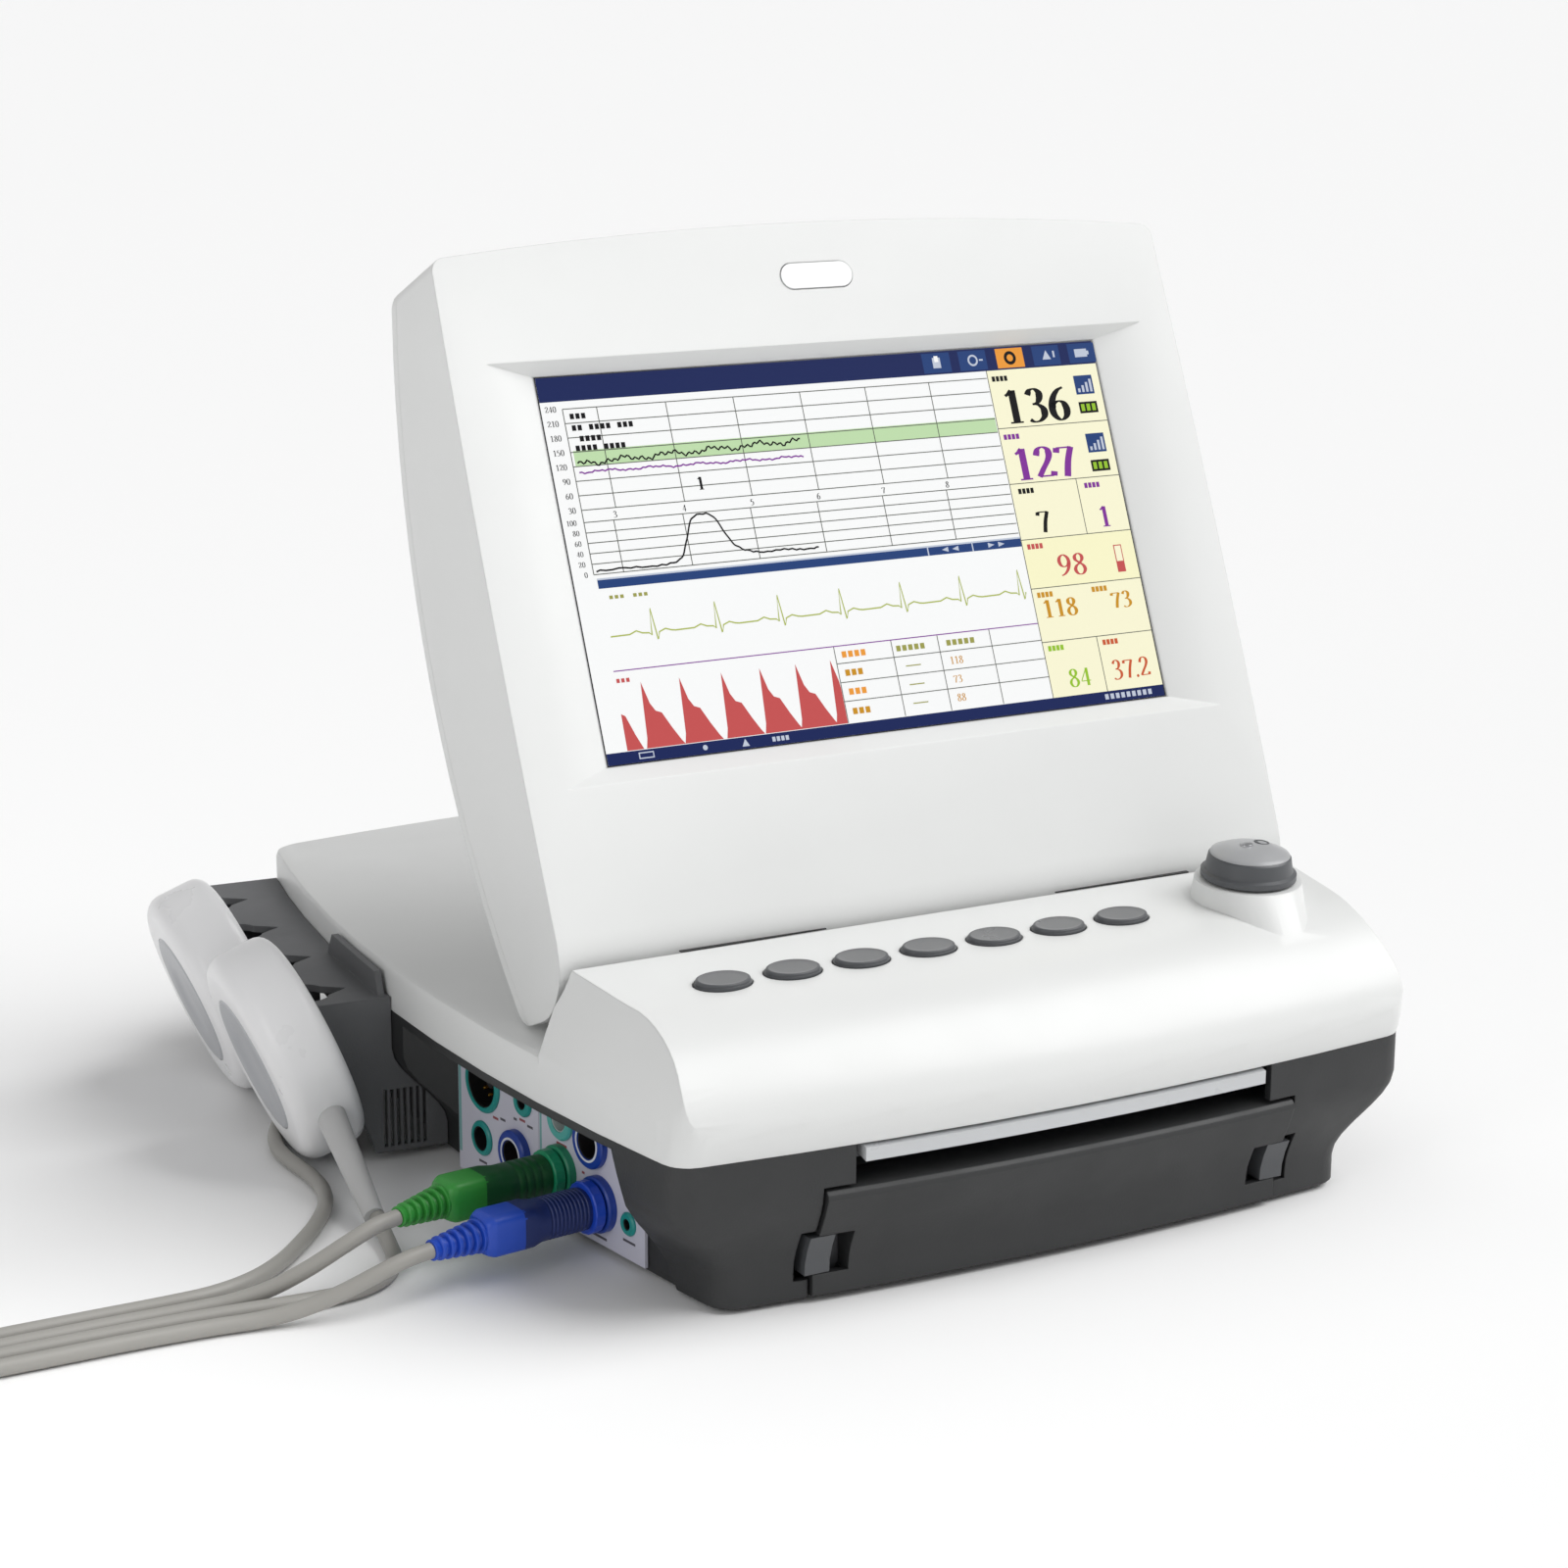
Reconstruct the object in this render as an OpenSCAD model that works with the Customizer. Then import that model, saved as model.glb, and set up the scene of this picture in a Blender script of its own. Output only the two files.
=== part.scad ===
// Desk-top monitor for two transducers: folding screen, key console, strip recorder and side rack.
// Millimetres. +Z is up, the front faces -Y. The base stands on z = 0.

/* [Cabinet] */
// Width of the cover across its widest place
case_w = 312; // [304:1:320]
// Depth of the cover from the middle of its lower front edge to the rear edge
case_d = 371; // [364:1:380]
// Height of the joint between base and cover
base_h = 55; // [53:0.5:60]
// Height of the side band of the cover
band_h = 16; // [14:0.5:20]
// How far the cabinet's middle stands right of the origin, so that rack and cabinet are centred together
cabinet_x = 28.5; // [27:0.1:30]
// How far the cabinet's middle stands behind the origin, so that nose and rear edge are centred
cabinet_y = 1.5; // [0.5:0.1:3]
// Radius of the bowed sides, seen from above
side_r = 850; // [700:10:1100]
// Radius of the bowed front edge, seen from above
front_r = 1150; // [1000:10:1800]
// Radius of the bowed rear edge, seen from above
rear_r = 900; // [800:10:1500]
// How far in front of the middle the cabinet is widest
widest_y = 11.5; // [2:0.5:20]
// Radius of the upright corners
corner_r = 10; // [8:0.5:13]
// Wall of the base tub
base_wall = 3; // [2.5:0.1:3.5]
// Wall of the cover and the screen shells
cover_wall = 2.5; // [2:0.1:3]
// How far the foot stands in from the cover at the sides
foot_side = 20; // [14:0.5:22]
// How far the foot stands in from the cover at the front
foot_front = 10; // [7:0.5:12]
// How far the foot stands in from the cover at the rear
foot_rear = 8; // [4:0.5:10]
// Height of the upright foot below the flare
foot_h = 11; // [9:0.5:14]
// Height of the flare
flare_h = 30; // [26:0.5:34]
// Height that the rubber feet lift the base off the table
foot_gap = 1.5; // [1:0.1:2.5]
// Radius of a rubber foot
rubber_r = 9; // [7:0.5:11]

/* [Console] */
// Height of the console above the deck, at its rear edge
console_h = 28; // [26:0.5:30]
// Length of the console from its rear wall to the front edge
console_l = 83.7; // [81:0.1:87]
// How much lower the console is where its nose begins
console_fall = 3; // [1.5:0.1:4]
// Length of the rounded nose
nose_l = 40; // [34:0.5:44]
// How far the nose bulges beyond the lower front edge
nose_bulge = 3; // [1:0.1:4]
// Fullness of the nose curve, where 2 is an ellipse
nose_power = 1.7; // [1.5:0.05:2.2]
// How far the ends of the console lean in at the top
end_draft = 11; // [8:0.5:13]

/* [Keys and knob] */
// Length of an oval key
key_l = 20; // [16:0.5:22]
// Width of an oval key
key_b = 14; // [11:0.5:15]
// Distance between neighbouring keys
key_pitch = 25.45; // [24:0.05:27]
// Middle of the first key, from the middle of the cabinet
key_x0 = -101; // [-104:0.5:-98]
// Distance of the key row behind the front edge
key_row = 52; // [49:0.5:54]
// Height of a key above the console
key_proud = 1.4; // [1:0.1:2.5]
// Press travel of a key
key_travel = 1.2; // [0.8:0.1:1.4]
// Diameter of the knob flange
knob_d = 33; // [29:0.5:35]
// Height of the knob
knob_h = 12; // [10:0.5:15]
// Middle of the knob, from the middle of the cabinet
knob_x = 103.8; // [100:0.1:107]
// Height of the knob pedestal above the console
pedestal_h = 7; // [5:0.5:9]
// Press travel of the knob
knob_travel = 0.6; // [0.4:0.1:0.8]
// Radius of the knob shaft
shaft_r = 3; // [2.5:0.1:3.2]

/* [Screen] */
// Tilt of the screen back from upright, as it stands
tilt = 23.8; // [15:0.1:35]
// Width of the screen
screen_w = 285; // [278:1:292]
// Extra width in the middle of each bowed side
screen_bow = 1.5; // [0:0.1:3]
// Height of the screen corners above the hinge axis
screen_h = 227; // [222:0.5:232]
// Extra height in the middle of the bowed top
screen_crown = 6.4; // [3:0.1:9]
// Half of the screen's thickness at the hinge, and the radius of its rounded lower edge
end_r = 24; // [23:0.1:25]
// Thickness of the screen from its face to the fullest place of its bowed back
screen_deep = 61; // [56:0.5:64]
// Radius of the bowed back, seen from the side
back_r = 350; // [330:5:420]
// Height of the back's fullest place above the hinge axis
back_apex = 97; // [88:1:106]
// Radius of the screen's corners, seen from the front
screen_r = 5; // [3:0.5:8]
// Radius of the screen's rear lower edge
heel_r = 9; // [7:0.5:10]
// Thickness of the rear shell at the parting line
rear_t = 4; // [3.5:0.1:5]
// Visible width of the display
display_w = 222; // [216:0.5:226]
// Visible height of the display
display_h = 132.5; // [128:0.5:136]
// Height of the display's lower edge above the hinge axis
display_z = 53.5; // [50:0.5:58]
// Width of the sloping bezel at the left and right
bezel_side = 18.5; // [12:0.5:20]
// Width of the sloping bezel below the display
bezel_low = 6.3; // [4:0.1:8]
// Width of the sloping bezel above the display
bezel_top = 4; // [3:0.1:6]
// Depth of the sloping bezel
bezel_depth = 5.6; // [4:0.1:6]
// Length of the alarm lens
lens_l = 28; // [24:0.5:34]
// Height of the alarm lens
lens_b = 9; // [7:0.5:11]
// Middle of the alarm lens above the display
lens_up = 28.1; // [26:0.1:30]

/* [Hinge] */
// Height of the hinge axis above the deck
hinge_up = 27.4; // [27:0.1:28.5]
// Gap between the rounded lower edge and the console
hinge_gap = 1; // [0.8:0.1:2]
// Middle of each hinge, from the middle of the cabinet
hinge_x = 75; // [68:0.5:80]
// Radius of the hinge pin
pin_r = 3; // [2.5:0.1:3.5]
// Thickness of the upright web of a hinge bracket
web_t = 8; // [6:0.5:9]
// Thickness of a chassis arm
arm_t = 3; // [2:0.5:4]
// Length of the dark slit in front of each hinge
slit_l = 52; // [44:1:56]

/* [Recorder] */
// Width of the drawer front
drawer_w = 180; // [176:1:184]
// Height of the drawer front's upper edge
drawer_top = 41; // [39:0.5:42]
// Depth of the drawer behind its front
drawer_l = 108; // [102:1:114]
// Width of the folded paper
paper_w = 152; // [150:1:154]
// Length of a fold of the paper
paper_l = 84; // [76:1:88]
// Height of the paper pack
paper_h = 22; // [10:1:24]
// Radius of the platen roller
roller_r = 7; // [6:0.5:7.5]
// Travel of the drawer
drawer_travel = 90; // [70:1:95]
// Height of the paper slot above the drawer
slot_h = 8; // [7:0.5:9]
// Travel of a drawer latch
latch_travel = 2.5; // [2:0.1:3]
// Width of a drawer latch
latch_w = 9; // [8:0.5:10]

/* [Connector bay] */
// Turn of the bay wall, seen from above
bay_turn = 7.7; // [6:0.1:9]
// Distance of the bay wall from the cabinet's middle, at its rear end
bay_x = 140; // [138:0.5:141]
// Place of the bay's rear end, from the middle of the depth
bay_y = -14.5; // [-16:0.5:-13]
// Length of the two panels together
panel_l = 114; // [110:0.5:118]
// Length of the rear panel
panel_rear_l = 51.5; // [50:0.5:53]
// Thickness of a panel
panel_t = 1.5; // [1.2:0.1:2]
// Thickness of the ledge over the bay
ledge_t = 3; // [2.5:0.1:4]

/* [Plugs] */
// Thickness of a plug body
plug_t = 14; // [12:0.5:15]
// Length of a plug body
plug_l = 44; // [38:1:48]
// Length of a plug boot
boot_l = 20; // [16:1:24]
// Diameter of the transducer leads
lead_d = 5.4; // [5:0.1:5.6]

/* [Rack and transducers] */
// Length of the rack along the side
rack_l = 160; // [154:1:166]
// Width of the rack's top plate
rack_w = 27; // [25:0.5:29]
// Height of the rack
rack_h = 60; // [58:0.5:61]
// Wall of the rack
rack_wall = 2.5; // [2:0.1:3]
// Lean of the rack's outer wall
rack_lean = 21; // [18:0.5:24]
// Turn of the rack, seen from above
rack_turn = 4; // [3:0.1:5]
// Distance between the notches of the rack
notch_pitch = 40; // [38:0.5:42]
// Distance of the first notch from the rack's front end
notch_first = 16; // [14:0.5:18]
// Width of a notch
notch_w = 21; // [20:0.5:22]
// Depth of a notch
notch_l = 17; // [15:0.5:19]
// Radius of a transducer
puck_r = 39.5; // [38:0.1:40]
// Thickness of a transducer
puck_t = 24; // [22:0.5:26]
// Radius of a transducer's rounded edge
puck_edge = 7; // [5:0.5:8]
// Height of a transducer's middle, at its back
puck_z = 45; // [44.5:0.1:47]
// Radius of the button's neck
neck_r = 4.5; // [3.5:0.1:5]
// Radius of the button's head
head_r = 7.8; // [7:0.1:8]
// How far a transducer lifts off
lift = 45; // [30:1:60]

/* [Clearances] */
// Gap round a key or knob in the console
key_gap = 0.4; // [0.3:0.05:0.6]
// Gap between a key's flange and the cover above it
cap_gap = 0.7; // [0.5:0.05:1]
// Radial running clearance of pins, shafts and journals
run_gap = 0.05; // [0.03:0.01:0.08]
// Gap between sliding parts
slide_gap = 0.3; // [0.2:0.05:0.5]
// Clearance of the lower screen edge in its trough
trough_gap = 1.2; // [0.8:0.1:1.6]
// Gap between a transducer and the rack's outer wall
puck_gap = 0.6; // [0.4:0.1:0.8]
// Gap between the rack and the cabinet
rack_gap = 0.3; // [0.2:0.05:0.5]

/* [Hidden] */

white = "gainsboro";
dark = [0.24, 0.24, 0.25];
eps = 0.01;

front_y = -case_d / 2;
rear_y = case_d / 2;
deck_z = base_h + band_h;
floor_z = foot_gap + base_wall;
ceiling_z = deck_z - cover_wall;
console_back_y = front_y + console_l;
console_z = deck_z + console_h;
nose_y = front_y - nose_bulge + nose_l;
nose_z = console_z - console_fall;
nose_low = base_h + 11;
nose_drop = nose_z - nose_low;
front_boss_h = nose_z - base_h - 6.5;
hinge_y = console_back_y + hinge_gap + end_r;
hinge_z = deck_z + hinge_up;
hinge_end = 8.5;
back_c = [screen_deep - end_r - back_r, back_apex];
heel_z = -end_r + heel_r;
heel_y = back_c[0] + sqrt(pow(back_r - heel_r, 2) - pow(heel_z - back_apex, 2));
tray_w = drawer_w - 12;
tray_z = 6;
tray_front = front_y + foot_front + 8;
roller_y = tray_front + 7.5;
roller_z = drawer_top + 1.8 - roller_r;
journal_r = 2.5;
latch_low = 10;
latch_high = 24;
fascia_t = 3;
fascia_proud = 1.2;
fascia_z = 2.5;
sweep_r = norm([heel_y, heel_z]) + heel_r;
trough_r = sweep_r + trough_gap;
flange_r = head_r;

// Point at distance r and angle a from c
function polar(c, r, a) = c + r * [cos(a), sin(a)];
function angle_of(v) = atan2(v[1], v[0]);
function arc(c, r, a0, a1, n) = [for (i = [0 : n]) polar(c, r, a0 + (a1 - a0) * i / n)];
// Crossing point of two circles, on the side of the line of centres that s gives
function meet(c1, r1, c2, r2, s) =
    let (d = norm(c2 - c1), u = (c2 - c1) / d, a = (d * d + r1 * r1 - r2 * r2) / (2 * d))
    c1 + a * u + s * sqrt(max(0, r1 * r1 - a * a)) * [-u[1], u[0]];
function at_z(points, z) = [for (p = points) [p[0], p[1], z]];
function mirrored(half) = [for (i = [len(half) - 2 : -1 : 1]) [-half[i][0], half[i][1]]];

// Barrel-shaped outline of the cabinet, moved in by s at the sides, f at the front and r at the rear
function outline(s, f, r, round_r) =
    let (
        side_c = [case_w / 2 - side_r, -widest_y],
        front_c = [0, front_y + front_r],
        back_c = [0, rear_y - rear_r],
        cf = meet(side_c, side_r - s - round_r, front_c, front_r - f - round_r, -1),
        cr = meet(side_c, side_r - s - round_r, back_c, rear_r - r - round_r, 1),
        a_front = angle_of(cf - front_c),
        a_side0 = angle_of(cf - side_c),
        a_side1 = angle_of(cr - side_c),
        a_rear = angle_of(cr - back_c),
        half = concat(
            arc(front_c, front_r - f, -90, a_front, 4),
            arc(cf, round_r, a_front + 18, a_side0 - 18, 3),
            [for (a = [a_side0, each side_stations, a_side1]) polar(side_c, side_r - s, a)],
            arc(cr, round_r, a_side1 + 18, a_rear - 18, 3),
            arc(back_c, rear_r - r, a_rear, 90, 4)))
    concat(half, mirrored(half));
// Angles at which every outline has a point on its bowed side, so that stacked outlines line up
side_stations = [-8.4, -6, -3.6, -1.2, 1.2, 3.6, 6, 8.4, 10.4];
// How far the bowed front stands back at x
function bow(x) = front_r - sqrt(front_r * front_r - x * x);

// Share of the flare that is left at height z: one in the foot, none at the top
function flare(z) = let (t = min(1, max(0, (z - foot_h) / flare_h))) 1 - t * t * (3 - 2 * t);
function base_ring(z, o) =
    at_z(outline(foot_side * flare(z) + o, foot_front * flare(z) + o, foot_rear * flare(z) + o, corner_r - o), z);

// Closed solid through rings with equal numbers of points. Strips closes rings that are not convex
// from side to side, the first half of their points against the second half.
module skin(rings, strips = false) {
    n = len(rings[0]);
    m = len(rings);
    points = [for (r = rings) each r];
    sides = [for (k = [0 : m - 2]) for (i = [0 : n - 1])
        let (j = (i + 1) % n, a = k * n + i, b = k * n + j, c = (k + 1) * n + j, d = (k + 1) * n + i)
        each [[a, d, c], [a, c, b]]];
    whole = [[for (i = [0 : n - 1]) i]];
    first = strips ? [for (i = [0 : n / 2 - 2]) [i, i + 1, n - 2 - i, n - 1 - i]] : whole;
    last = [for (cap = first) [for (i = [len(cap) - 1 : -1 : 0]) cap[i] + (m - 1) * n]];
    polyhedron(points, concat(first, last, sides), convexity = 6);
}

// Closed solid through side profiles, given in Y and Z, that follow the bowed front from -w / 2 to w / 2
module bowed(w, steps, profiles, strips = false) {
    skin([for (i = [0 : steps]) let (x = -w / 2 + w * i / steps)
        [for (p = profiles) [x, p[0] + bow(x) * p[2], p[1]]]], strips);
}

// Extrudes a profile given in Y and Z along X, centred, w wide
module along_x(w) {
    rotate([90, 0, 90]) linear_extrude(w, center = true, convexity = 6) children();
}

module block(low, high) {
    translate(low) cube(high - low);
}

module mirror_pair() {
    children();
    mirror([1, 0, 0]) children();
}

// Everything is drawn about the cabinet's middle plane and moved to the shared origin
module placed() {
    translate([cabinet_x, cabinet_y, 0]) children();
}

module screen_frame() {
    translate([0, hinge_y, hinge_z]) rotate([-tilt, 0, 0]) children();
}

/* Base */
flare_steps = [0, 0.13, 0.26, 0.39, 0.5, 0.61, 0.74, 0.87, 1];

function flare_rings(o) = [for (t = flare_steps) base_ring(foot_h + t * flare_h, o)];
function reversed(list) = [for (i = [len(list) - 1 : -1 : 0]) list[i]];

bay_dir = [sin(bay_turn), -cos(bay_turn)];
bay_out = [-cos(bay_turn), -sin(bay_turn)];
bay_rear = [-bay_x, bay_y];
function bay_point(s, out) = bay_rear + s * bay_dir + out * bay_out;

// Places children with X along the bay wall to the front, Y up and Z out of the wall
module on_bay(s, z, out = 0) {
    p = bay_point(s, out);
    multmatrix([
        [bay_dir[0], 0, bay_out[0], p[0]],
        [bay_dir[1], 0, bay_out[1], p[1]],
        [0, 1, 0, z],
        [0, 0, 0, 1]]) children();
}

// Space that the scooped bay takes out of the base, moved in by o
module bay_space(o, top) {
    intersection() {
        translate([0, 0, -5])
            linear_extrude(top + 5)
            polygon([bay_point(-o, -o), bay_point(150, -o), bay_point(150, 70), bay_point(-78, 70)]);
        rotate([0, 0, -21.7]) rotate([90, 0, 0])
            linear_extrude(500, center = true)
            polygon([[-230, -6], [-59 + o, -6], [-64 + o, 10], [-68 + o, 15], [-73 + o, 22], [-78 + o, 33],
                [-81 + o, 45], [-83 + o, 60], [-230, 60]]);
    }
}

screw_spots = [[112, front_y + 26], [116, rear_y - 42]];
rubber_spots = [[100, front_y + 40], [104, rear_y - 30]];
speaker = [-80, rear_y - 48];
rail_x = 60;
rail_front = tray_front + 6;
post_x = 97;
post_w = 8;
post_l = 14;
post_y = roller_y - post_l / 2;
post_h = drawer_top + slot_h / 2 - 1;
rear_panel_y = rear_y - foot_rear - 7;
inlet_x = 88;
board_posts = [[-100, -30], [30, -30], [-100, 80], [30, 80]];
board_z = 12;

module base_tub() {
    color(dark) difference() {
        union() {
            difference() {
                skin(concat([base_ring(foot_gap, 0.8), base_ring(foot_gap + 0.8, 0)], flare_rings(0),
                    [base_ring(base_h, 0)]));
                bay_space(0, base_h - ledge_t);
                difference() {
                    skin(concat([base_ring(floor_z, base_wall)], flare_rings(base_wall),
                        [base_ring(base_h + 1, base_wall)]));
                    bay_space(base_wall, base_h);
                }
                block([inlet_x - 42, rear_panel_y + 2, 7], [inlet_x + 30, rear_y + 10, 47]);
            }
            block([inlet_x - 44, rear_panel_y - 1, floor_z - 1], [inlet_x + 32, rear_panel_y + 2, 50]);
            mirror_pair() {
                for (p = screw_spots)
                    translate([p[0], p[1], floor_z - 1]) cylinder(r = 4.5, h = base_h - floor_z, $fn = 32);
                block([rail_x - 2, rail_front, floor_z - 1], [rail_x + 2, tray_front + drawer_l, tray_z - 0.2]);
                block([post_x - post_w / 2, post_y, floor_z - 1],
                    [post_x + post_w / 2, post_y + post_l, post_h]);
            }
            for (p = board_posts)
                translate([p[0], p[1], floor_z - 1]) cylinder(r = 3.5, h = board_z - floor_z + 1, $fn = 32);
            translate([speaker[0], speaker[1], floor_z - 1]) cylinder(r = 6, h = 8.5 - floor_z + 1, $fn = 32);
        }
        // Drawer opening with room for the latches, and the paper slot over it
        block([-drawer_w / 2 - 1, front_y - 5, -1], [drawer_w / 2 + 1, front_y + 18, drawer_top + 1]);
        block([-drawer_w / 2 - 6, front_y - 5, 8], [drawer_w / 2 + 6, front_y + 24, 26]);
        block([-paper_w / 2 - 4, front_y - 5, drawer_top], [paper_w / 2 + 4, front_y + 14, base_h + 1]);
        for (p = screw_spots) for (s = [-1, 1]) translate([s * p[0], p[1], 0]) {
            cylinder(r = 2.1, h = base_h + 1, $fn = 32);
            cylinder(r = 3.8, h = floor_z, $fn = 32);
        }
        for (p = rubber_spots) for (s = [-1, 1])
            translate([s * p[0], p[1], foot_gap - 1]) cylinder(r = rubber_r + 0.2, h = 1.8, $fn = 48);
        for (k = [0 : 8]) sockets_hole(k);
        inlet_cut();
        // Slots that let the loudspeaker be heard and air out at the rear
        for (i = [0 : 5])
            block([-100 + 5 * i, rear_y - 30, 16], [-98 + 5 * i, rear_y + 5, 36]);
    }
}

module rubber_feet() {
    color([0.12, 0.12, 0.12])
        for (p = rubber_spots) for (s = [-1, 1])
            translate([s * p[0], p[1], 0]) cylinder(r = rubber_r, h = foot_gap + 0.8, $fn = 48);
}

module case_screws() {
    color("silver")
        for (p = screw_spots) for (s = [-1, 1]) translate([s * p[0], p[1], floor_z - 3]) {
            cylinder(r = 3.5, h = 3, $fn = 32);
            cylinder(r = 1.75, h = base_h - floor_z + 12, $fn = 32);
        }
}

/* Cover */
// Side profile of the console, moved in by o, as [y, z, share of the bow]. Below the nose the plan rules
function console_profile(o, low) = concat(
    [[console_back_y + o, low, 0], [console_back_y + o, console_z - o, 0]],
    [for (i = [0 : 12]) let (t = 90 * i / 12)
        [nose_y - (nose_l - o) * pow(sin(t), 2 / nose_power),
         nose_low + (nose_drop - o) * pow(cos(t), 2 / nose_power), 1]],
    [[nose_y - nose_l - 3, nose_low - 3, 1], [nose_y - nose_l - 3, low, 1]]);

module console_body(o, low) {
    intersection() {
        bowed(case_w + 20, 14, console_profile(o, low - 1));
        skin([
            for (t = [[low, 0], [base_h + 3, 0.48], [base_h + 7, 0.87], [nose_low, 1]])
                at_z(outline(o, -nose_bulge * t[1] + o, o, corner_r - o), t[0]),
            at_z(outline(o, -nose_bulge - 0.3 + o, o, corner_r - o), deck_z),
            at_z(outline(o + end_draft, -nose_bulge - 0.3 + o, o, corner_r - o), console_z + 1)]);
    }
}

// Places children on the console top at a place counted from the front edge, standing square to the surface
module on_console(x, behind) {
    y = front_y + behind;
    z = nose_z + (y - nose_y) * console_fall / (console_back_y - nose_y);
    translate([x, y, z]) rotate([console_tilt, 0, 0]) children();
}
console_tilt = atan2(console_fall, console_back_y - nose_y);

function oval(a, b, n = 32) = [for (i = [0 : n - 1]) [a * cos(360 * i / n), b * sin(360 * i / n)]];

board_h = 10;
boss_spots = [[-112, 14], [-38, 14], [38, 14], [84, -14], [-112, -14], [-38, -14]];

module top_cover() {
    web_slot = web_t + 2;
    color(white) difference() {
        union() {
            difference() {
                union() {
                    skin([at_z(outline(cover_wall, 6, cover_wall, corner_r - cover_wall), ceiling_z),
                        at_z(outline(cover_wall, 6, cover_wall, corner_r - cover_wall), base_h),
                        at_z(outline(0, 3.5, 0, corner_r), base_h),
                        at_z(outline(0, 3.5, 0, corner_r), deck_z - 3),
                        at_z(outline(0.7, 4.2, 0.7, corner_r), deck_z - 0.9),
                        at_z(outline(2.6, 6, 2.6, corner_r), deck_z)]);
                    console_body(0, base_h);
                    knob_pedestal();
                }
                console_body(cover_wall, base_h - 5);
            }
            // Underside of the trough below the screen's lower edge
            intersection() {
                translate([0, hinge_y, hinge_z]) rotate([0, 90, 0])
                    cylinder(r = trough_r + cover_wall, h = case_w, center = true, $fn = 180);
                translate([0, 0, ceiling_z - 8]) linear_extrude(8.5)
                    polygon(outline(1, 10, 1, corner_r - 1));
            }
            mirror_pair() for (p = screw_spots) translate([p[0], p[1], base_h - 0.5])
                cylinder(r = 4.5, h = p[1] < 0 ? front_boss_h : band_h - 1, $fn = 32);
            for (p = boss_spots) on_console(p[0], key_row)
                translate([0, p[1], -board_h]) cylinder(r = 3, h = board_h - 1, $fn = 32);
        }
        translate([0, hinge_y, hinge_z]) rotate([0, 90, 0])
            cylinder(r = trough_r, h = case_w + 20, center = true, $fn = 180);
        mirror_pair() {
            block([hinge_x - web_slot / 2, hinge_y - 8, deck_z - 20], [hinge_x + web_slot / 2, hinge_y + 8, deck_z]);
            block([hinge_x - slit_l / 2, console_back_y - 1, hinge_z - 6],
                [hinge_x + slit_l / 2, console_back_y + 2, console_z + 1]);
            for (p = screw_spots)
                translate([p[0], p[1], base_h - 1]) cylinder(r = 1.8, h = 13, $fn = 32);
        }
        for (k = [0 : 6]) on_console(key_x0 + k * key_pitch, key_row)
            translate([0, 0, -8]) linear_extrude(16) polygon(oval(key_l / 2 + key_gap, key_b / 2 + key_gap));
        on_console(knob_x, key_row) translate([0, 0, -8])
            cylinder(r = shaft_r + 3.5, h = pedestal_h + 12, $fn = 48);
    }
}

module knob_pedestal() {
    difference() {
        hull() {
            on_console(knob_x, key_row) translate([0, 0, pedestal_h - 1])
                cylinder(r = knob_d / 2 + 2, h = 1, $fn = 40);
            on_console(knob_x, key_row) translate([0, 0, -8]) cylinder(r = knob_d / 2 + 3.5, h = 1, $fn = 40);
            on_console(knob_x - 3, key_row - 22) translate([0, 0, -10]) cylinder(r = 12, h = 1, $fn = 32);
        }
        on_console(knob_x, key_row) translate([0, 0, -20])
            cylinder(r = knob_d / 2 - 2, h = pedestal_h + 20 - cover_wall, $fn = 48);
    }
}

/* Keys, knob and their board */
module key_cap(k) {
    foot = -cover_wall - cap_gap;
    color([0.3, 0.31, 0.32]) on_console(key_x0 + k * key_pitch, key_row) {
        intersection() {
            translate([0, 0, foot - 1]) linear_extrude(key_proud + 8) polygon(oval(key_l / 2, key_b / 2));
            translate([0, 0, key_proud - 42]) sphere(r = 42, $fn = 96);
        }
        translate([0, 0, foot - 2]) linear_extrude(2) polygon(oval(key_l / 2 + 1.4, key_b / 2 + 1.4));
        translate([0, 0, -board_h + 1.8 + key_travel + slide_gap])
            cylinder(r = 2.5, h = board_h + foot - 1 - 1.8 - key_travel - slide_gap, $fn = 32);
    }
}

module key_1() { key_cap(0); }
module key_2() { key_cap(1); }
module key_3() { key_cap(2); }
module key_4() { key_cap(3); }
module key_5() { key_cap(4); }
module key_6() { key_cap(5); }
module key_7() { key_cap(6); }

sleeve_r = shaft_r + 1.5;

module key_board() {
    on_console(0, key_row) {
        color("darkgreen") difference() {
            translate([0, 0, -board_h - 1.6]) linear_extrude(1.6)
                polygon([[-118, -18], [118, -18], [118, 18], [-118, 18]]);
            translate([knob_x, 0, -board_h - 3]) cylinder(r = sleeve_r + 1.5, h = 6, $fn = 32);
        }
        color([0.2, 0.2, 0.2]) {
            for (k = [0 : 6]) translate([key_x0 + k * key_pitch, 0, -board_h]) {
                block([-3, -3, 0], [3, 3, 1]);
                cylinder(r = 1.7, h = 1.8, $fn = 32);
            }
            translate([knob_x, 0, -board_h]) difference() {
                union() {
                    block([-7, -7, 0], [7, 7, 7]);
                    cylinder(r = shaft_r + 3, h = board_h + pedestal_h - 2, $fn = 48);
                }
                translate([0, 0, -1]) cylinder(r = sleeve_r + run_gap, h = 40, $fn = 48);
            }
        }
    }
}

module encoder_sleeve() {
    color("silver") on_console(knob_x, key_row) difference() {
        union() {
            translate([0, 0, -board_h - 4]) cylinder(r = sleeve_r, h = board_h + 4 + pedestal_h - 0.5, $fn = 48);
            translate([0, 0, -board_h - 4]) cylinder(r = sleeve_r + 2, h = 1.2, $fn = 48);
        }
        translate([0, 0, -40]) cylinder(r = shaft_r + run_gap, h = 80, $fn = 48);
    }
}

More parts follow.
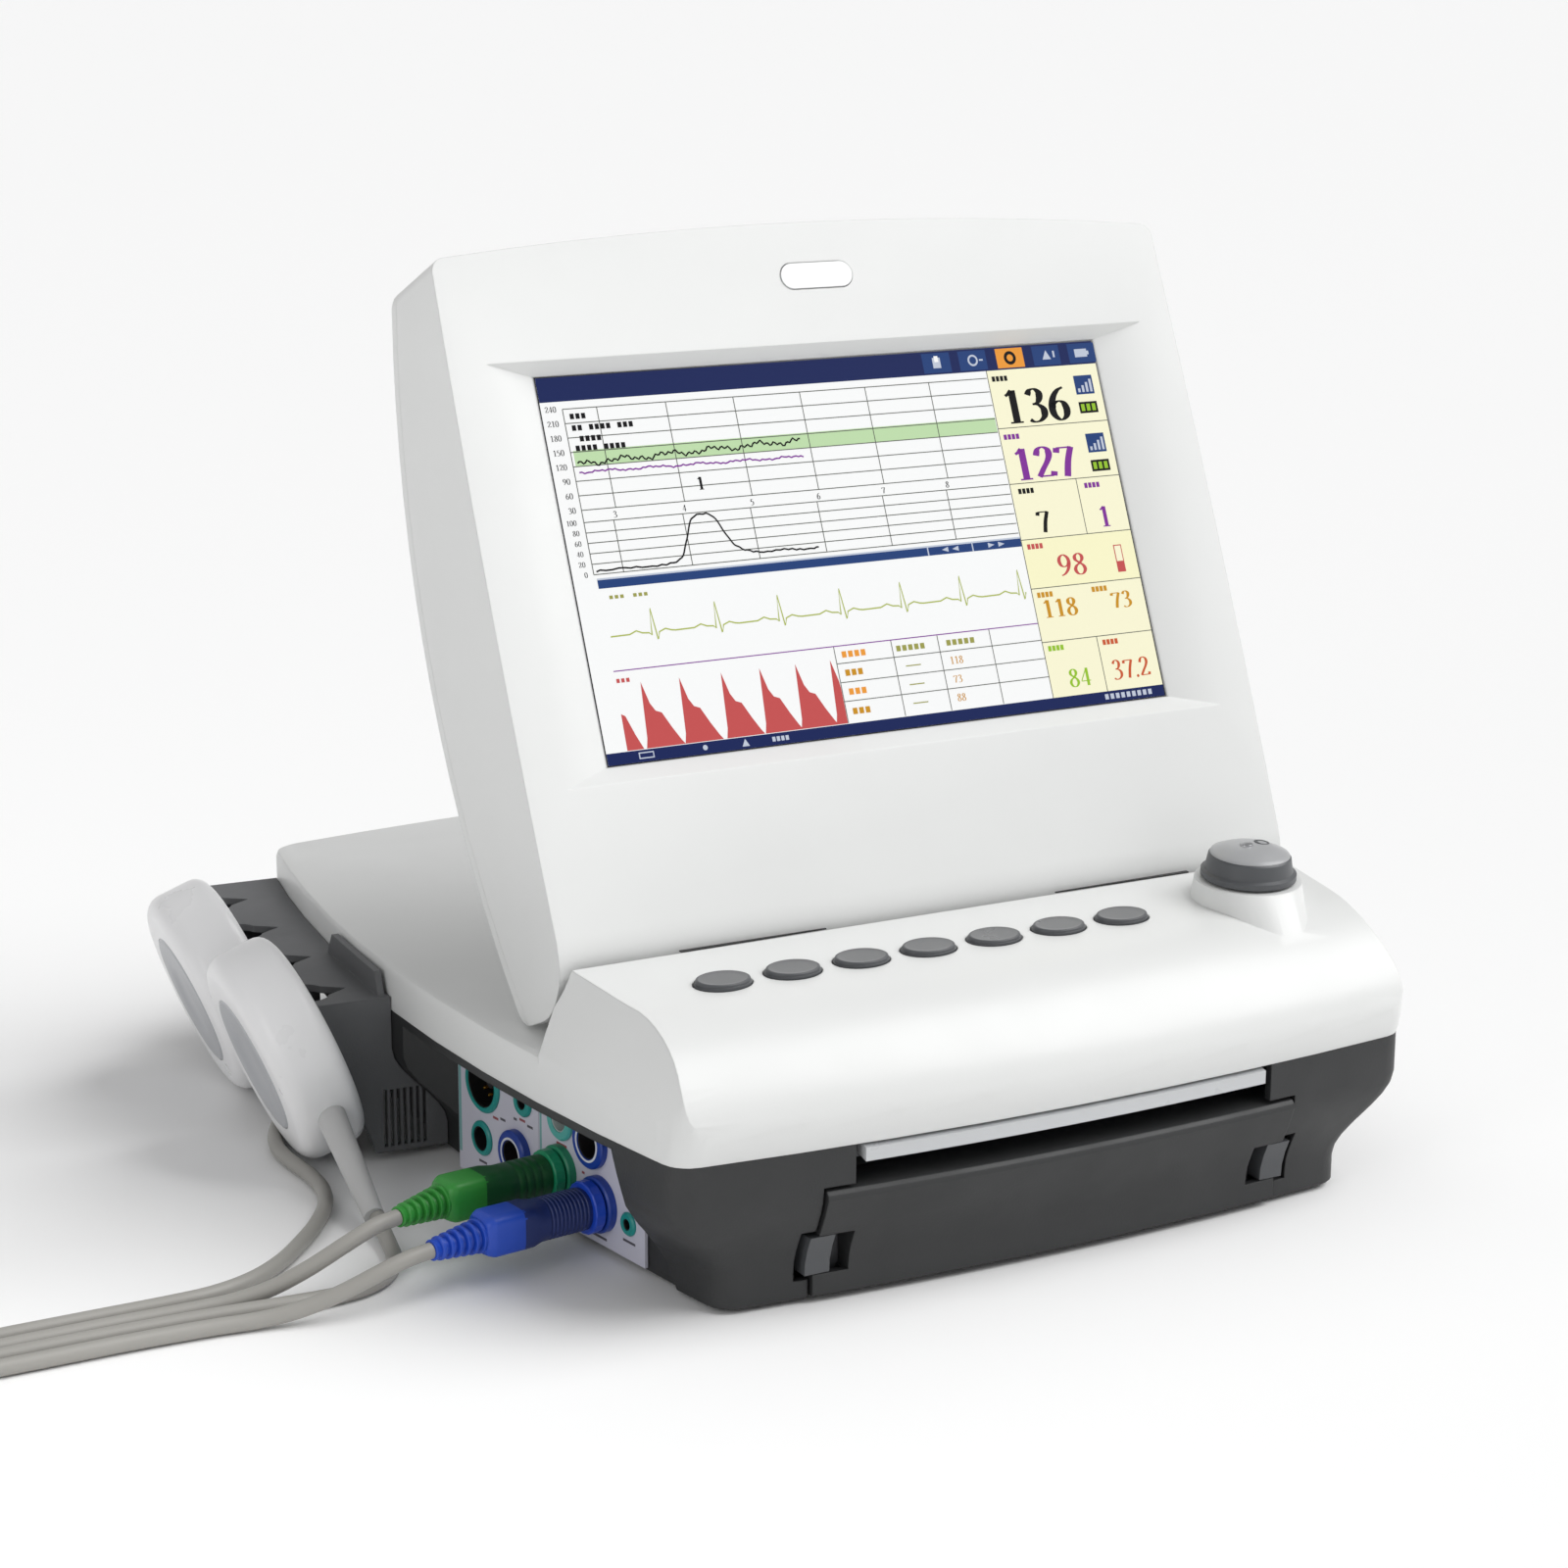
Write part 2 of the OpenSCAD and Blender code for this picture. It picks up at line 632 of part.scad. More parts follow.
module control_knob() {
    r = knob_d / 2;
    low = pedestal_h + knob_travel + slide_gap;
    hub = sleeve_r + 1;
    top = pedestal_h + knob_h;
    color([0.3, 0.31, 0.32]) on_console(knob_x, key_row) rotate_extrude($fn = 96)
        polygon(concat(
            [[0, -board_h - 4], [shaft_r, -board_h - 4], [shaft_r, pedestal_h - 0.2], [hub, pedestal_h - 0.2],
             [hub, low], [r, low], [r, low + 2], [r - 1.3, low + 2.6], [r - 2.2, low + 7.5]],
            [for (i = [0 : 8]) let (t = i / 8) [(r - 3.2) * (1 - t) + 4.5 * t, top - 2.6 + 2.6 * sin(90 * t)]],
            [for (i = [1 : 4]) let (t = i / 4) [4.5 * (1 - t), top - 0.9 * sin(90 * t)]]));
}

/* Screen */
// Side profile of the screen about the hinge axis, moved in by o
function back_at(z, o) = back_c[0] + sqrt(pow(back_r - o, 2) - pow(z - back_apex, 2));
function screen_profile(o) = concat(
    [[-end_r + o, screen_h + 12]],
    arc([0, 0], end_r - o, 180, 270, 12),
    arc([heel_y, heel_z], heel_r - o, -90, angle_of([heel_y, heel_z] - back_c), 6),
    [for (i = [1 : 16]) let (z = heel_z + (screen_h + 12 - heel_z) * i / 16) [back_at(z, o), z]]);
// Zone behind the parting line of the two screen shells
function rear_zone() = concat(
    [[3 * end_r, -2 * end_r]],
    [[3 * end_r, screen_h + 14]],
    [for (i = [16 : -1 : 0]) let (z = -end_r - 6 + (screen_h + 20 + end_r) * i / 16) [back_at(z, rear_t), z]]);

function side_at(z) = screen_w / 2 + screen_bow * (1 - pow((z - 100) / 125, 2));
function screen_outline(o) =
    let (
        n = 10,
        half = concat(
            [for (i = [0 : n]) let (z = -30 + (screen_h - screen_r + 30) * i / n) [side_at(z) - o, z]],
            arc([side_at(screen_h) - screen_r, screen_h - screen_r], screen_r - o * 0.8, 15, 75, 3),
            [for (i = [1 : 6]) let (x = (screen_w / 2 - screen_r) * (1 - i / 6))
                [x, screen_h - o + screen_crown * (1 - pow(x / (screen_w / 2 - screen_r), 2))]]))
    concat(half, [for (i = [len(half) - 2 : -1 : 0]) [-half[i][0], half[i][1]]]);

module screen_solid(o) {
    intersection() {
        along_x(screen_w + 20) polygon(screen_profile(o));
        rotate([90, 0, 0]) linear_extrude(6 * end_r, center = true, convexity = 6) polygon(screen_outline(o));
    }
}

// Room in the lower rear edge in which the hinge webs stand while the screen swings
module web_room() {
    mirror_pair() block([hinge_x - web_t / 2 - 1.2, -hinge_end, -end_r - 6],
        [hinge_x + web_t / 2 + 1.2, end_r + 8, hinge_end]);
}

// Tapering space from x0, z0, z1 at y0 to x2, z2, z3 at y1
module frustum(x0, z0, z1, x2, z2, z3, y0, y1) {
    skin([
        [[-x0, y0, z0], [-x0, y0, z1], [x0, y0, z1], [x0, y0, z0]],
        [[-x2, y1, z2], [-x2, y1, z3], [x2, y1, z3], [x2, y1, z2]]]);
}

glass_y = -end_r + bezel_depth;
display_top = display_z + display_h;
lens_z = display_top + lens_up;

module pill(l, b, h) {
    linear_extrude(h) union() {
        square([l - b, b], center = true);
        for (s = [-1, 1]) translate([s * (l - b) / 2, 0]) circle(d = b, $fn = 48);
    }
}

module screen_front_shell() {
    color(white) screen_frame() difference() {
        union() {
            difference() {
                screen_solid(0);
                screen_solid(cover_wall);
                along_x(screen_w + 30) polygon(rear_zone());
            }
            block([-display_w / 2 - bezel_side - 3, -end_r + 1, display_z - bezel_low - 3],
                [display_w / 2 + bezel_side + 3, glass_y, display_top + bezel_top + 3]);
        }
        frustum(display_w / 2 + bezel_side, display_z - bezel_low, display_top + bezel_top,
            display_w / 2, display_z, display_top, -end_r - eps, glass_y + eps);
        translate([0, -end_r + 10, lens_z]) rotate([90, 0, 0])
            pill(lens_l + 2 * slide_gap, lens_b + 2 * slide_gap, 20);
        web_room();
    }
}

post_spots = [[116, 66], [116, 178]];

module screen_rear_shell() {
    color(white) screen_frame() difference() {
        union() {
            intersection() {
                difference() {
                    screen_solid(0);
                    screen_solid(cover_wall - 0.3);
                }
                along_x(screen_w + 30) polygon(rear_zone());
            }
            mirror_pair() for (p = post_spots) translate([p[0], chassis_y + 1.5, p[1]]) rotate([-90, 0, 0])
                cylinder(r = 4, h = back_at(p[1], 1) - chassis_y - 1.5, $fn = 32);
        }
        web_room();
        for (i = [0 : 9]) block([-42 + 9 * i, 0, 150], [-39 + 9 * i, 3 * end_r, 180]);
    }
}

glass_t = 1.5;
lcd_t = 8;
lcd_y = glass_y + glass_t + 0.2;
chassis_y = lcd_y + lcd_t;

module display_window() {
    color([0.1, 0.1, 0.12]) screen_frame()
        block([-display_w / 2 - 3, glass_y, display_z - 3], [display_w / 2 + 3, glass_y + glass_t, display_top + 3]);
}

module lcd_module() {
    color("dimgray") screen_frame() {
        block([-display_w / 2 - 7, lcd_y, display_z - 6], [display_w / 2 + 7, chassis_y, display_top + 6]);
        block([-60, chassis_y + 1.5, 110], [60, chassis_y + 5, 150]);
    }
}

module alarm_lens() {
    color("white") screen_frame() translate([0, 0, lens_z]) rotate([90, 0, 0]) {
        translate([0, 0, end_r - cover_wall - 1.2]) pill(lens_l + 4, lens_b + 4, 1);
        translate([0, 0, end_r - cover_wall - 1.2]) pill(lens_l, lens_b, cover_wall + 1.6);
    }
}

module screen_chassis() {
    color("silver") screen_frame() difference() {
        union() {
            block([-122, chassis_y, display_z + 4], [122, chassis_y + 1.5, display_top - 4]);
            mirror_pair() for (s = [-1, 1]) translate([hinge_x + s * (web_t / 2 + 1 + arm_t / 2), 0, 0]) {
                block([-arm_t / 2, chassis_y, 0], [arm_t / 2, 6, display_z + 30]);
                rotate([0, 90, 0]) cylinder(r = hinge_end + 0.5, h = arm_t, center = true, $fn = 48);
            }
        }
        rotate([0, 90, 0]) cylinder(r = pin_r + run_gap, h = case_w, center = true, $fn = 64);
        block([-40, chassis_y - 1, display_z + 30], [40, chassis_y + 3, display_top - 20]);
    }
}

web_y = 6;
bracket_z = hinge_z - trough_r - cover_wall - slide_gap;

module hinge_brackets() {
    color("silver") mirror_pair() difference() {
        union() {
            block([hinge_x - web_t / 2, hinge_y - web_y, bracket_z - 2], [hinge_x + web_t / 2, hinge_y + web_y, hinge_z]);
            translate([hinge_x, hinge_y, hinge_z]) rotate([0, 90, 0])
                cylinder(r = hinge_end - 1, h = web_t, center = true, $fn = 64);
            block([hinge_x - 22, hinge_y - 12, bracket_z - 2], [hinge_x + 22, hinge_y + 12, bracket_z]);
        }
        translate([hinge_x, hinge_y, hinge_z]) rotate([0, 90, 0])
            cylinder(r = pin_r + run_gap, h = 3 * web_t, center = true, $fn = 64);
    }
}

module hinge_pins() {
    l = web_t + 2 + 2 * arm_t + 3;
    color("dimgray") mirror_pair() translate([hinge_x, hinge_y, hinge_z]) rotate([0, 90, 0]) {
        cylinder(r = pin_r, h = l, center = true, $fn = 64);
        translate([0, 0, l / 2 - 1]) cylinder(r = pin_r + 2, h = 1.5, $fn = 48);
    }
}

/* Recorder */

// Front of the drawer from top to bottom, moved in by o
function fascia_front(o) =
    let (y = front_y - fascia_proud + o, r = max(0.6, 3 - o), top = drawer_top - o)
    concat(
        [for (a = [90, 120, 150, 180]) let (c = polar([y + r, top - r], r, a)) [c[0], c[1], 1]],
        [for (i = [1 : 7]) let (z = top - r - (top - r - foot_h) * i / 7) [y + foot_front * flare(z), z, 1]],
        [[y + foot_front, fascia_z + o, 1]]);

// Side profile of the drawer front, its back a plane from bottom to top
function fascia_profile(o, back) = concat(fascia_front(o), [for (p = reversed(fascia_front(o))) [back, p[1], 0]]);

// Shell with a rib on the inner side of each latch, and a tongue that carries the tray
module drawer_front() {
    x = drawer_w / 2 - latch_w - latch_travel - 1;
    color(dark) difference() {
        union() {
            difference() {
                bowed(drawer_w, 10, fascia_profile(0, tray_front), true);
                difference() {
                    bowed(drawer_w - 2 * fascia_t, 10, fascia_profile(fascia_t, tray_front + 5), true);
                    mirror_pair() block([x - 2, front_y - 5, -1], [x + 0.8, tray_front + 6, base_h]);
                }
            }
            block([-tray_w / 2 + 8, tray_front - 4, floor_z + slide_gap], [tray_w / 2 - 8, rail_front - 1, tray_z]);
        }
        mirror_pair() block([x, front_y - 5, latch_low - slide_gap],
            [drawer_w, tray_front + 1, latch_high + slide_gap]);
    }
}

module drawer_tray() {
    x = tray_w / 2;
    y0 = tray_front + 1;
    y1 = tray_front + drawer_l;
    ear_z = drawer_top + 1;
    color("dimgray") difference() {
        union() {
            block([-x, y0, tray_z], [x, y1, tray_z + 2]);
            block([-x, y1 - 2, tray_z], [x, y1, 36]);
            block([-x, y0, tray_z], [x, y0 + 2, 22]);
            mirror_pair() {
                block([x - 2, y0, tray_z], [x, y1, 36]);
                block([x - 2, y0, tray_z], [x, roller_y + 8, ear_z]);
            }
        }
        translate([0, roller_y, roller_z]) rotate([0, 90, 0])
            cylinder(r = journal_r + run_gap, h = case_w, center = true, $fn = 48);
    }
}

module paper_pack() {
    y1 = tray_front + drawer_l - 4;
    color("mistyrose") block([-paper_w / 2, y1 - paper_l, tray_z + 2], [paper_w / 2, y1, tray_z + 2 + paper_h]);
}

module platen_roller() {
    color([0.15, 0.15, 0.15]) translate([0, roller_y, roller_z]) rotate([0, 90, 0]) {
        cylinder(r = roller_r, h = paper_w + 4, center = true, $fn = 64);
        cylinder(r = journal_r, h = tray_w - 0.2, center = true, $fn = 48);
    }
}

module print_head() {
    z = roller_z + roller_r + slide_gap;
    color("dimgray") {
        block([-post_x - post_w / 2, post_y, post_h], [post_x + post_w / 2, post_y + post_l, post_h + 4]);
        block([-paper_w / 2 - 2, post_y + 3, z], [paper_w / 2 + 2, post_y + post_l - 3, post_h]);
    }
}

module tear_bar() {
    y = front_y - 0.6;
    color("silver") bowed(paper_w + 2, 8, [[y, base_h - 6, 1], [y + 8, base_h - 4, 1],
        [y + 8, base_h - 0.15, 1], [y + 6.4, base_h - 0.15, 1], [y, base_h - 1.5, 1]]);
}

module latch_body() {
    x1 = drawer_w / 2 + 3;
    x0 = x1 - latch_w;
    y_in = tray_front + 1 - slide_gap;
    color([0.3, 0.3, 0.31]) {
        intersection() {
            block([x0, front_y - 3, latch_low], [x1, y_in, latch_high]);
            translate([0, bow(x1), 0]) along_x(2 * case_w) polygon(concat(
                [[y_in, 0], [y_in, base_h]],
                [for (i = [0 : 7]) let (z = 40 - 36 * i / 7) [front_y - 1.5 + foot_front * flare(z), z]],
                [[front_y - 1.5 + foot_front, 0]]));
        }
        block([x0 + 4, y_in - 1, latch_low + 3], [x0 + 6, y_in + 36, latch_high - 3]);
    }
}

module latch_right() { latch_body(); }
module latch_left() { mirror([1, 0, 0]) latch_body(); }

/* Connector bay */
// Sockets as [place along the bay, height, outer radius, bore radius, how far it stands out, depth]
sockets = [
    [17, 38, 10.5, 8.5, 1.2, 12],
    [16, 17.8, 6.2, 4.4, 1.2, 10],
    [42.3, 38.5, 5.2, 2.6, 1.2, 10],
    [105.1, 15, 4, 2, 1.2, 10],
    [38.2, 19, 8.4, 5, 3, 12],
    [65.5, 39.2, 7.2, 4.2, 1.5, 12],
    [84, 36.8, 8.8, 5.4, 2.5, 12],
    [65.4, 21.3, 9, 6.6, 3, 12],
    [88.6, 16.9, 9.6, 7.2, 3, 12]];

module sockets_hole(k) {
    s = sockets[k];
    on_bay(s[0], s[1], -20) cylinder(r = s[2] - 0.7 + 0.1, h = 22, $fn = 48);
}

// Round socket with a rim on the panel, a barrel through the wall, a bore and contact pins
module socket(k, rim, pins) {
    s = sockets[k];
    on_bay(s[0], s[1]) {
        color(rim) difference() {
            union() {
                translate([0, 0, panel_t]) cylinder(r = s[2], h = s[4] - 0.6, $fn = 48);
                translate([0, 0, panel_t + s[4] - 0.6]) cylinder(r1 = s[2], r2 = s[2] - 0.6, h = 0.6, $fn = 48);
                translate([0, 0, -s[5]]) cylinder(r = s[2] - 0.7, h = s[5] + panel_t + 0.1, $fn = 48);
            }
            translate([0, 0, -s[5] + 2]) cylinder(r = s[3], h = 40, $fn = 48);
        }
        color("gold") for (i = [0 : 1 : pins - 1])
            translate([s[3] * 0.55 * cos(360 * i / pins), s[3] * 0.55 * sin(360 * i / pins), -s[5] + 2 - eps])
                cylinder(r = 0.5, h = 3.2, $fn = 16);
    }
}

module ecg_socket() { socket(0, "teal", 6); }
module spo2_socket() { socket(1, "teal", 0); }
module small_jacks() {
    socket(2, "teal", 0);
    socket(3, "teal", 0);
}
module domed_socket() { socket(4, "royalblue", 0); }
module pressure_port() { socket(5, "lightseagreen", 0); }
module ring_socket() { socket(6, "mediumblue", 0); }
module green_socket() { socket(7, "mediumseagreen", 0); }
module blue_socket() { socket(8, "royalblue", 0); }

module panel(a, b, holes) {
    color("lavender") difference() {
        intersection() {
            translate([0, 0, foot_gap + 1]) linear_extrude(base_h - ledge_t - foot_gap - 1.3)
                polygon([bay_point(a, 0), bay_point(b, 0), bay_point(b, panel_t), bay_point(a, panel_t)]);
            bay_space(-0.3, base_h);
        }
        for (k = holes) on_bay(sockets[k][0], sockets[k][1], -5)
            cylinder(r = sockets[k][2] - 0.5, h = 12, $fn = 48);
    }
}

module connector_panel_rear() { panel(0.5, panel_rear_l, [0, 1, 2, 4]); }
module connector_panel_front() { panel(panel_rear_l + 0.3, panel_l, [3, 5, 6, 7, 8]); }

/* Plugs */
// Plug along Z: nose in the socket, collar, body with rounded corners, ribbed boot bent by flex to the front
module plug(k, flex) {
    s = sockets[k];
    z0 = panel_t + s[4];
    half = plug_t / 2;
    on_bay(s[0], s[1]) {
        translate([0, 0, -s[5] + 5]) cylinder(r = s[3] - 0.3, h = s[5] - 5 + z0 + 2, $fn = 48);
        translate([0, 0, z0 + 0.5]) cylinder(r = s[2] - 0.8, h = 4, $fn = 48);
        intersection() {
            translate([0, 0, z0 + 4]) linear_extrude(plug_l - 4) square([plug_t, plug_t], center = true);
            translate([0, 0, z0 + 4]) cylinder(r = half * 1.22, h = plug_l, $fn = 64);
            translate([0, 0, z0 + 4])
                cylinder(r1 = half * 0.86 + plug_l - 4, r2 = half * 0.86, h = plug_l - 4, $fn = 64);
        }
        translate([0, 0, z0 + plug_l - 2]) rotate([0, flex, 0]) {
            cylinder(r1 = 5, r2 = lead_d / 2 + 0.6, h = boot_l + 1, $fn = 48);
            for (i = [0 : 5]) let (t = (i + 0.8) / 6)
                translate([0, 0, t * (boot_l - 2)]) cylinder(r = 6 - 2.1 * t, h = 1.4, $fn = 48);
        }
    }
}

green_flex = 12;
blue_flex = 6;
module plug_green() { color("green") plug(7, green_flex); }
module plug_blue() { color("royalblue") plug(8, blue_flex); }

// Place at which a plug's boot lets its lead out
function plug_way(flex) = [-cos(bay_turn + flex), -sin(bay_turn + flex), 0];
function plug_end(k, flex) =
    let (s = sockets[k], p = bay_point(s[0], panel_t + s[4] + plug_l - 2))
    [p[0], p[1], s[1]] + (boot_l + 1.01) * plug_way(flex);

/* Rack */
// Rack frame: X runs out from the cabinet as a negative number, Y along the rack from its front end
rack_touch_y = -widest_y + side_r * sin(rack_turn);
rack_touch_x = -(case_w / 2 - side_r * (1 - cos(rack_turn))) - rack_gap;
rack_front = 8.5;
module rack_frame() {
    translate([rack_touch_x, rack_touch_y, 0]) rotate([0, 0, -rack_turn])
        translate([0, rack_front - rack_touch_y, 0]) children();
}

lean = tan(rack_lean);
function wall_x(z) = -rack_w + (rack_h - z) * lean;

// Cross-section of the rack, from its leaning outer wall to well inside the cabinet
module rack_section(o) {
    low = o > 0 ? -5 : 3;
    polygon([[wall_x(rack_h) + o, rack_h - o], [wall_x(3) + o, low], [foot_side + 4, low], [foot_side + 4, rack_h - o]]);
}

module rack_prism(y0, y1, o) {
    translate([0, y1, 0]) rotate([90, 0, 0]) linear_extrude(y1 - y0) rack_section(o);
}

notch_ys = [for (i = [0 : 3]) notch_first + i * notch_pitch];
puck_rows = [notch_ys[0], notch_ys[2]];
neck_len = puck_gap + rack_wall + 0.4;

// Places children at the middle of a transducer's back: Z points out of its face, Y up its slope, X to the front
module puck_frame(y) {
    c = cos(rack_lean);
    s = sin(rack_lean);
    rack_frame() multmatrix([
        [0, -s, -c, wall_x(puck_z) - puck_gap / c],
        [-1, 0, 0, y],
        [0, c, -s, puck_z],
        [0, 0, 0, 1]]) children();
}

module transducer_rack() {
    color([0.27, 0.27, 0.28]) difference() {
        rack_frame() difference() {
            union() {
                difference() {
                    rack_prism(0, rack_l, 0);
                    rack_prism(rack_wall, rack_l - rack_wall, rack_wall);
                }
                translate([-rack_wall - 0.4, 0, 0]) rotate([90, 0, 90]) linear_extrude(rack_wall)
                    polygon([[2, rack_h - 1], [6, rack_h + 8], [54, rack_h + 8], [60, rack_h - 1]]);
            }
            for (y = notch_ys) translate([-rack_w, y, rack_h - rack_wall - 1]) linear_extrude(20)
                polygon(notch_outline());
            for (y = notch_ys) neck_slot(y);
            for (i = [0 : 6]) block([-2.5 + 2.4 * i, -1, 5], [-1.2 + 2.4 * i, rack_wall + 1, 26]);
            block([-rack_w - 2, rack_l - 12, rack_h - 12], [-rack_w + 8, rack_l + 1, rack_h + 2]);
        }
        skin(concat([base_ring(foot_gap - 1, -rack_gap)], flare_rings(-rack_gap), [base_ring(base_h, -rack_gap)]));
        translate([0, 0, base_h - 0.5]) linear_extrude(band_h)
            polygon(outline(-rack_gap, -rack_gap, -rack_gap, corner_r + rack_gap));
    }
}

// Leaf-shaped notch that lets a button's head down behind the outer wall
function notch_outline() = concat([[-2, notch_w / 2], [-2, -notch_w / 2]],
    [for (i = [0 : 5]) [notch_l * 0.55 * sin(15 * i), -notch_w / 2 * cos(12 * i)]],
    [[notch_l, 0]],
    [for (i = [5 : -1 : 0]) [notch_l * 0.55 * sin(15 * i), notch_w / 2 * cos(12 * i)]]);

// Slot in the outer wall that a button's neck slides down, with a round bottom
module neck_slot(y) {
    x = wall_x(puck_z);
    w = neck_r + slide_gap + 0.2;
    translate([x, y, puck_z]) rotate([0, -rack_lean, 0]) {
        rotate([0, 90, 0]) cylinder(r = w, h = 4 * rack_wall, center = true, $fn = 48);
        block([-2 * rack_wall, -w, 0], [2 * rack_wall, w, 60]);
    }
}

module puck_case(y) {
    color("whitesmoke") puck_frame(y) {
        rotate_extrude($fn = 96) difference() {
            polygon(concat([[0, 0]], arc([puck_r - puck_edge * 0.7, puck_edge * 0.7], puck_edge * 0.7, -90, 0, 6),
                arc([puck_r - puck_edge, puck_t - puck_edge], puck_edge, 0, 90, 8), [[0, puck_t]]));
            translate([0, puck_t - 1]) square([face_r + 0.2, 3]);
        }
        translate([0, 0, -neck_len]) cylinder(r = neck_r, h = neck_len + 1, $fn = 48);
        translate([0, 0, -neck_len - 3]) cylinder(r = head_r, h = 3, $fn = 64);
    }
}
face_r = 25;

module puck_face(y) {
    color("silver") puck_frame(y) translate([0, 0, puck_t - 1]) rotate_extrude($fn = 96)
        polygon([[0, 0], [face_r, 0], [face_r, 0.9], [face_r - 0.8, 1.4], [13, 1.4], [12, 0.9], [0, 0.9]]);
}

// Cable boot on the rim, a below the rack's line, bent out of the transducer's plane by b
module puck_boot(y, a, b, l, r) {
    color("lightgray") puck_frame(y) translate([0, 0, puck_t / 2]) difference() {
        rotate([0, 0, -a]) translate([puck_r - 1.5, 0, 0]) rotate([0, 90 - b, 0])
            cylinder(r1 = r, r2 = lead_d / 2 + 0.8, h = l, $fn = 48);
        cylinder(r = puck_r + 0.02, h = puck_t, center = true, $fn = 96);
    }
}

module toco_case() { puck_case(puck_rows[1]); }
module toco_face() { puck_face(puck_rows[1]); }
module toco_boot() { puck_boot(puck_rows[1], 42, 12, 11, 4.6); }
module ultrasound_case() { puck_case(puck_rows[0]); }
module ultrasound_face() { puck_face(puck_rows[0]); }
module ultrasound_boot() { puck_boot(puck_rows[0], 22.5, 8.6, 50, 5.2); }

/* Inside the base */
module inlet_cut() {
    block([inlet_x - 14, rear_panel_y - 2, 18], [inlet_x + 14, rear_panel_y + 5, 38]);
}

module power_inlet() {
    color([0.15, 0.15, 0.15]) {
        difference() {
            union() {
                block([inlet_x - 25, rear_panel_y + 2, 14], [inlet_x + 25, rear_panel_y + 4.5, 42]);
                block([inlet_x - 13.6, rear_panel_y - 18, 18.4], [inlet_x + 13.6, rear_panel_y + 3, 37.6]);
            }
            block([inlet_x - 12, rear_panel_y - 14, 20], [inlet_x + 12, rear_panel_y + 6, 36]);
        }
        for (x = [-7, 0, 7]) block([inlet_x + x - 1, rear_panel_y - 15, 26.5 + (x == 0 ? 3 : 0)],
            [inlet_x + x + 1, rear_panel_y - 2, 29.5 + (x == 0 ? 3 : 0)]);
    }
}

module main_board() {
    color("darkgreen") block([-108, -38, board_z], [38, 88, board_z + 1.6]);
    color([0.2, 0.2, 0.2]) {
        block([-60, 0, board_z + 1.6], [-32, 28, board_z + 4]);
        block([-10, -20, board_z + 1.6], [12, 2, board_z + 4]);
        block([-104, 30, board_z + 1.6], [-94, 70, board_z + 12]);
        block([0, 50, board_z + 1.6], [34, 80, board_z + 16]);
    }
}

module power_supply() {
    color("silver") difference() {
        block([52, -30, floor_z], [112, 96, 42]);
        for (i = [0 : 7]) block([58, -20 + 14 * i, 38], [106, -14 + 14 * i, 43]);
    }
}

module loudspeaker() {
    color("dimgray") translate([speaker[0], speaker[1], 8.5]) {
        cylinder(r = 26, h = 3, $fn = 64);
        translate([0, 0, 3]) cylinder(r1 = 24, r2 = 14, h = 10, $fn = 64);
        translate([0, 0, 13]) cylinder(r = 14, h = 10, $fn = 48);
    }
}

/* Leads */
// Points chosen by hand along each free stretch. Both leads are wound up beside the monitor
lead_z = 2.9;
green_run = concat([plug_end(7, green_flex)], [
    [-206, -95.1, 20.7], [-217, -96.7, 17], [-229, -96.1, 11.3], [-241, -94.3, 6.3], [-253, -92.5, 3.6],
    [-266, -91.4, 2.9], [-290, -90.8, 2.9], [-320, -90.8, 2.9], [-350, -90.8, 2.9], [-380, -90.8, 2.9],
    [-405, -90.8, 2.9]
]);
green_tail = [
    [-358.7, -44.5, 8.9], [-358.7, -52.5, 8.9], [-358.4, -60.5, 8.7], [-356.3, -68, 7.6],
    [-351.5, -75, 5.6], [-344.5, -80, 3.8], [-335, -82.5, 2.9], [-318, -82.8, 2.9], [-295, -82.9, 2.9],
    [-272, -83.1, 2.9], [-256, -82.1, 2.9], [-241, -77, 2.9], [-228, -68, 2.9], [-216.5, -56, 2.9],
    [-205.5, -42.5, 2.9], [-196.8, -28.5, 2.9], [-192, -14.5, 2.9], [-190.6, -0.5, 2.9],
    [-191.2, 11.5, 2.9], [-191.6, 22.5, 2.9], [-190.6, 32.5, 2.9], [-187.2, 43.2, 2.9],
    [-182.2, 53.5, 2.9], [-178.6, 60.8, 4.1], [-176.7, 66.2, 6.5], [-176.3, 69.5, 9.1]
];
blue_run = concat([plug_end(8, blue_flex)], [
    [-204, -115.3, 16.2], [-215, -115.8, 13.1], [-227, -114.4, 8.6], [-239, -111.7, 4.9],
    [-251, -109.1, 3.1], [-266, -107.1, 2.9], [-290, -105.9, 2.9], [-318, -105.7, 2.9],
    [-340, -105.7, 2.9], [-353, -107.3, 3.1], [-363, -112.9, 4.6], [-370.3, -121.5, 6.9],
    [-373.4, -132, 8.6], [-373.7, -143.5, 8.9]
]);
blue_tail = [
    [-420, -97.2, 2.9], [-395, -97.3, 2.9], [-360, -97.5, 2.9], [-325, -97.6, 2.9], [-295, -97.9, 2.9],
    [-270, -98.7, 2.9], [-250, -100.1, 2.9], [-234, -101.5, 2.9], [-219.5, -101.7, 2.9],
    [-207.5, -98.3, 2.9], [-199, -91.1, 2.9], [-193.8, -81, 2.9], [-191, -70, 3.2], [-189.4, -61, 4.6],
    [-188.52, -54.55, 6.55]
];

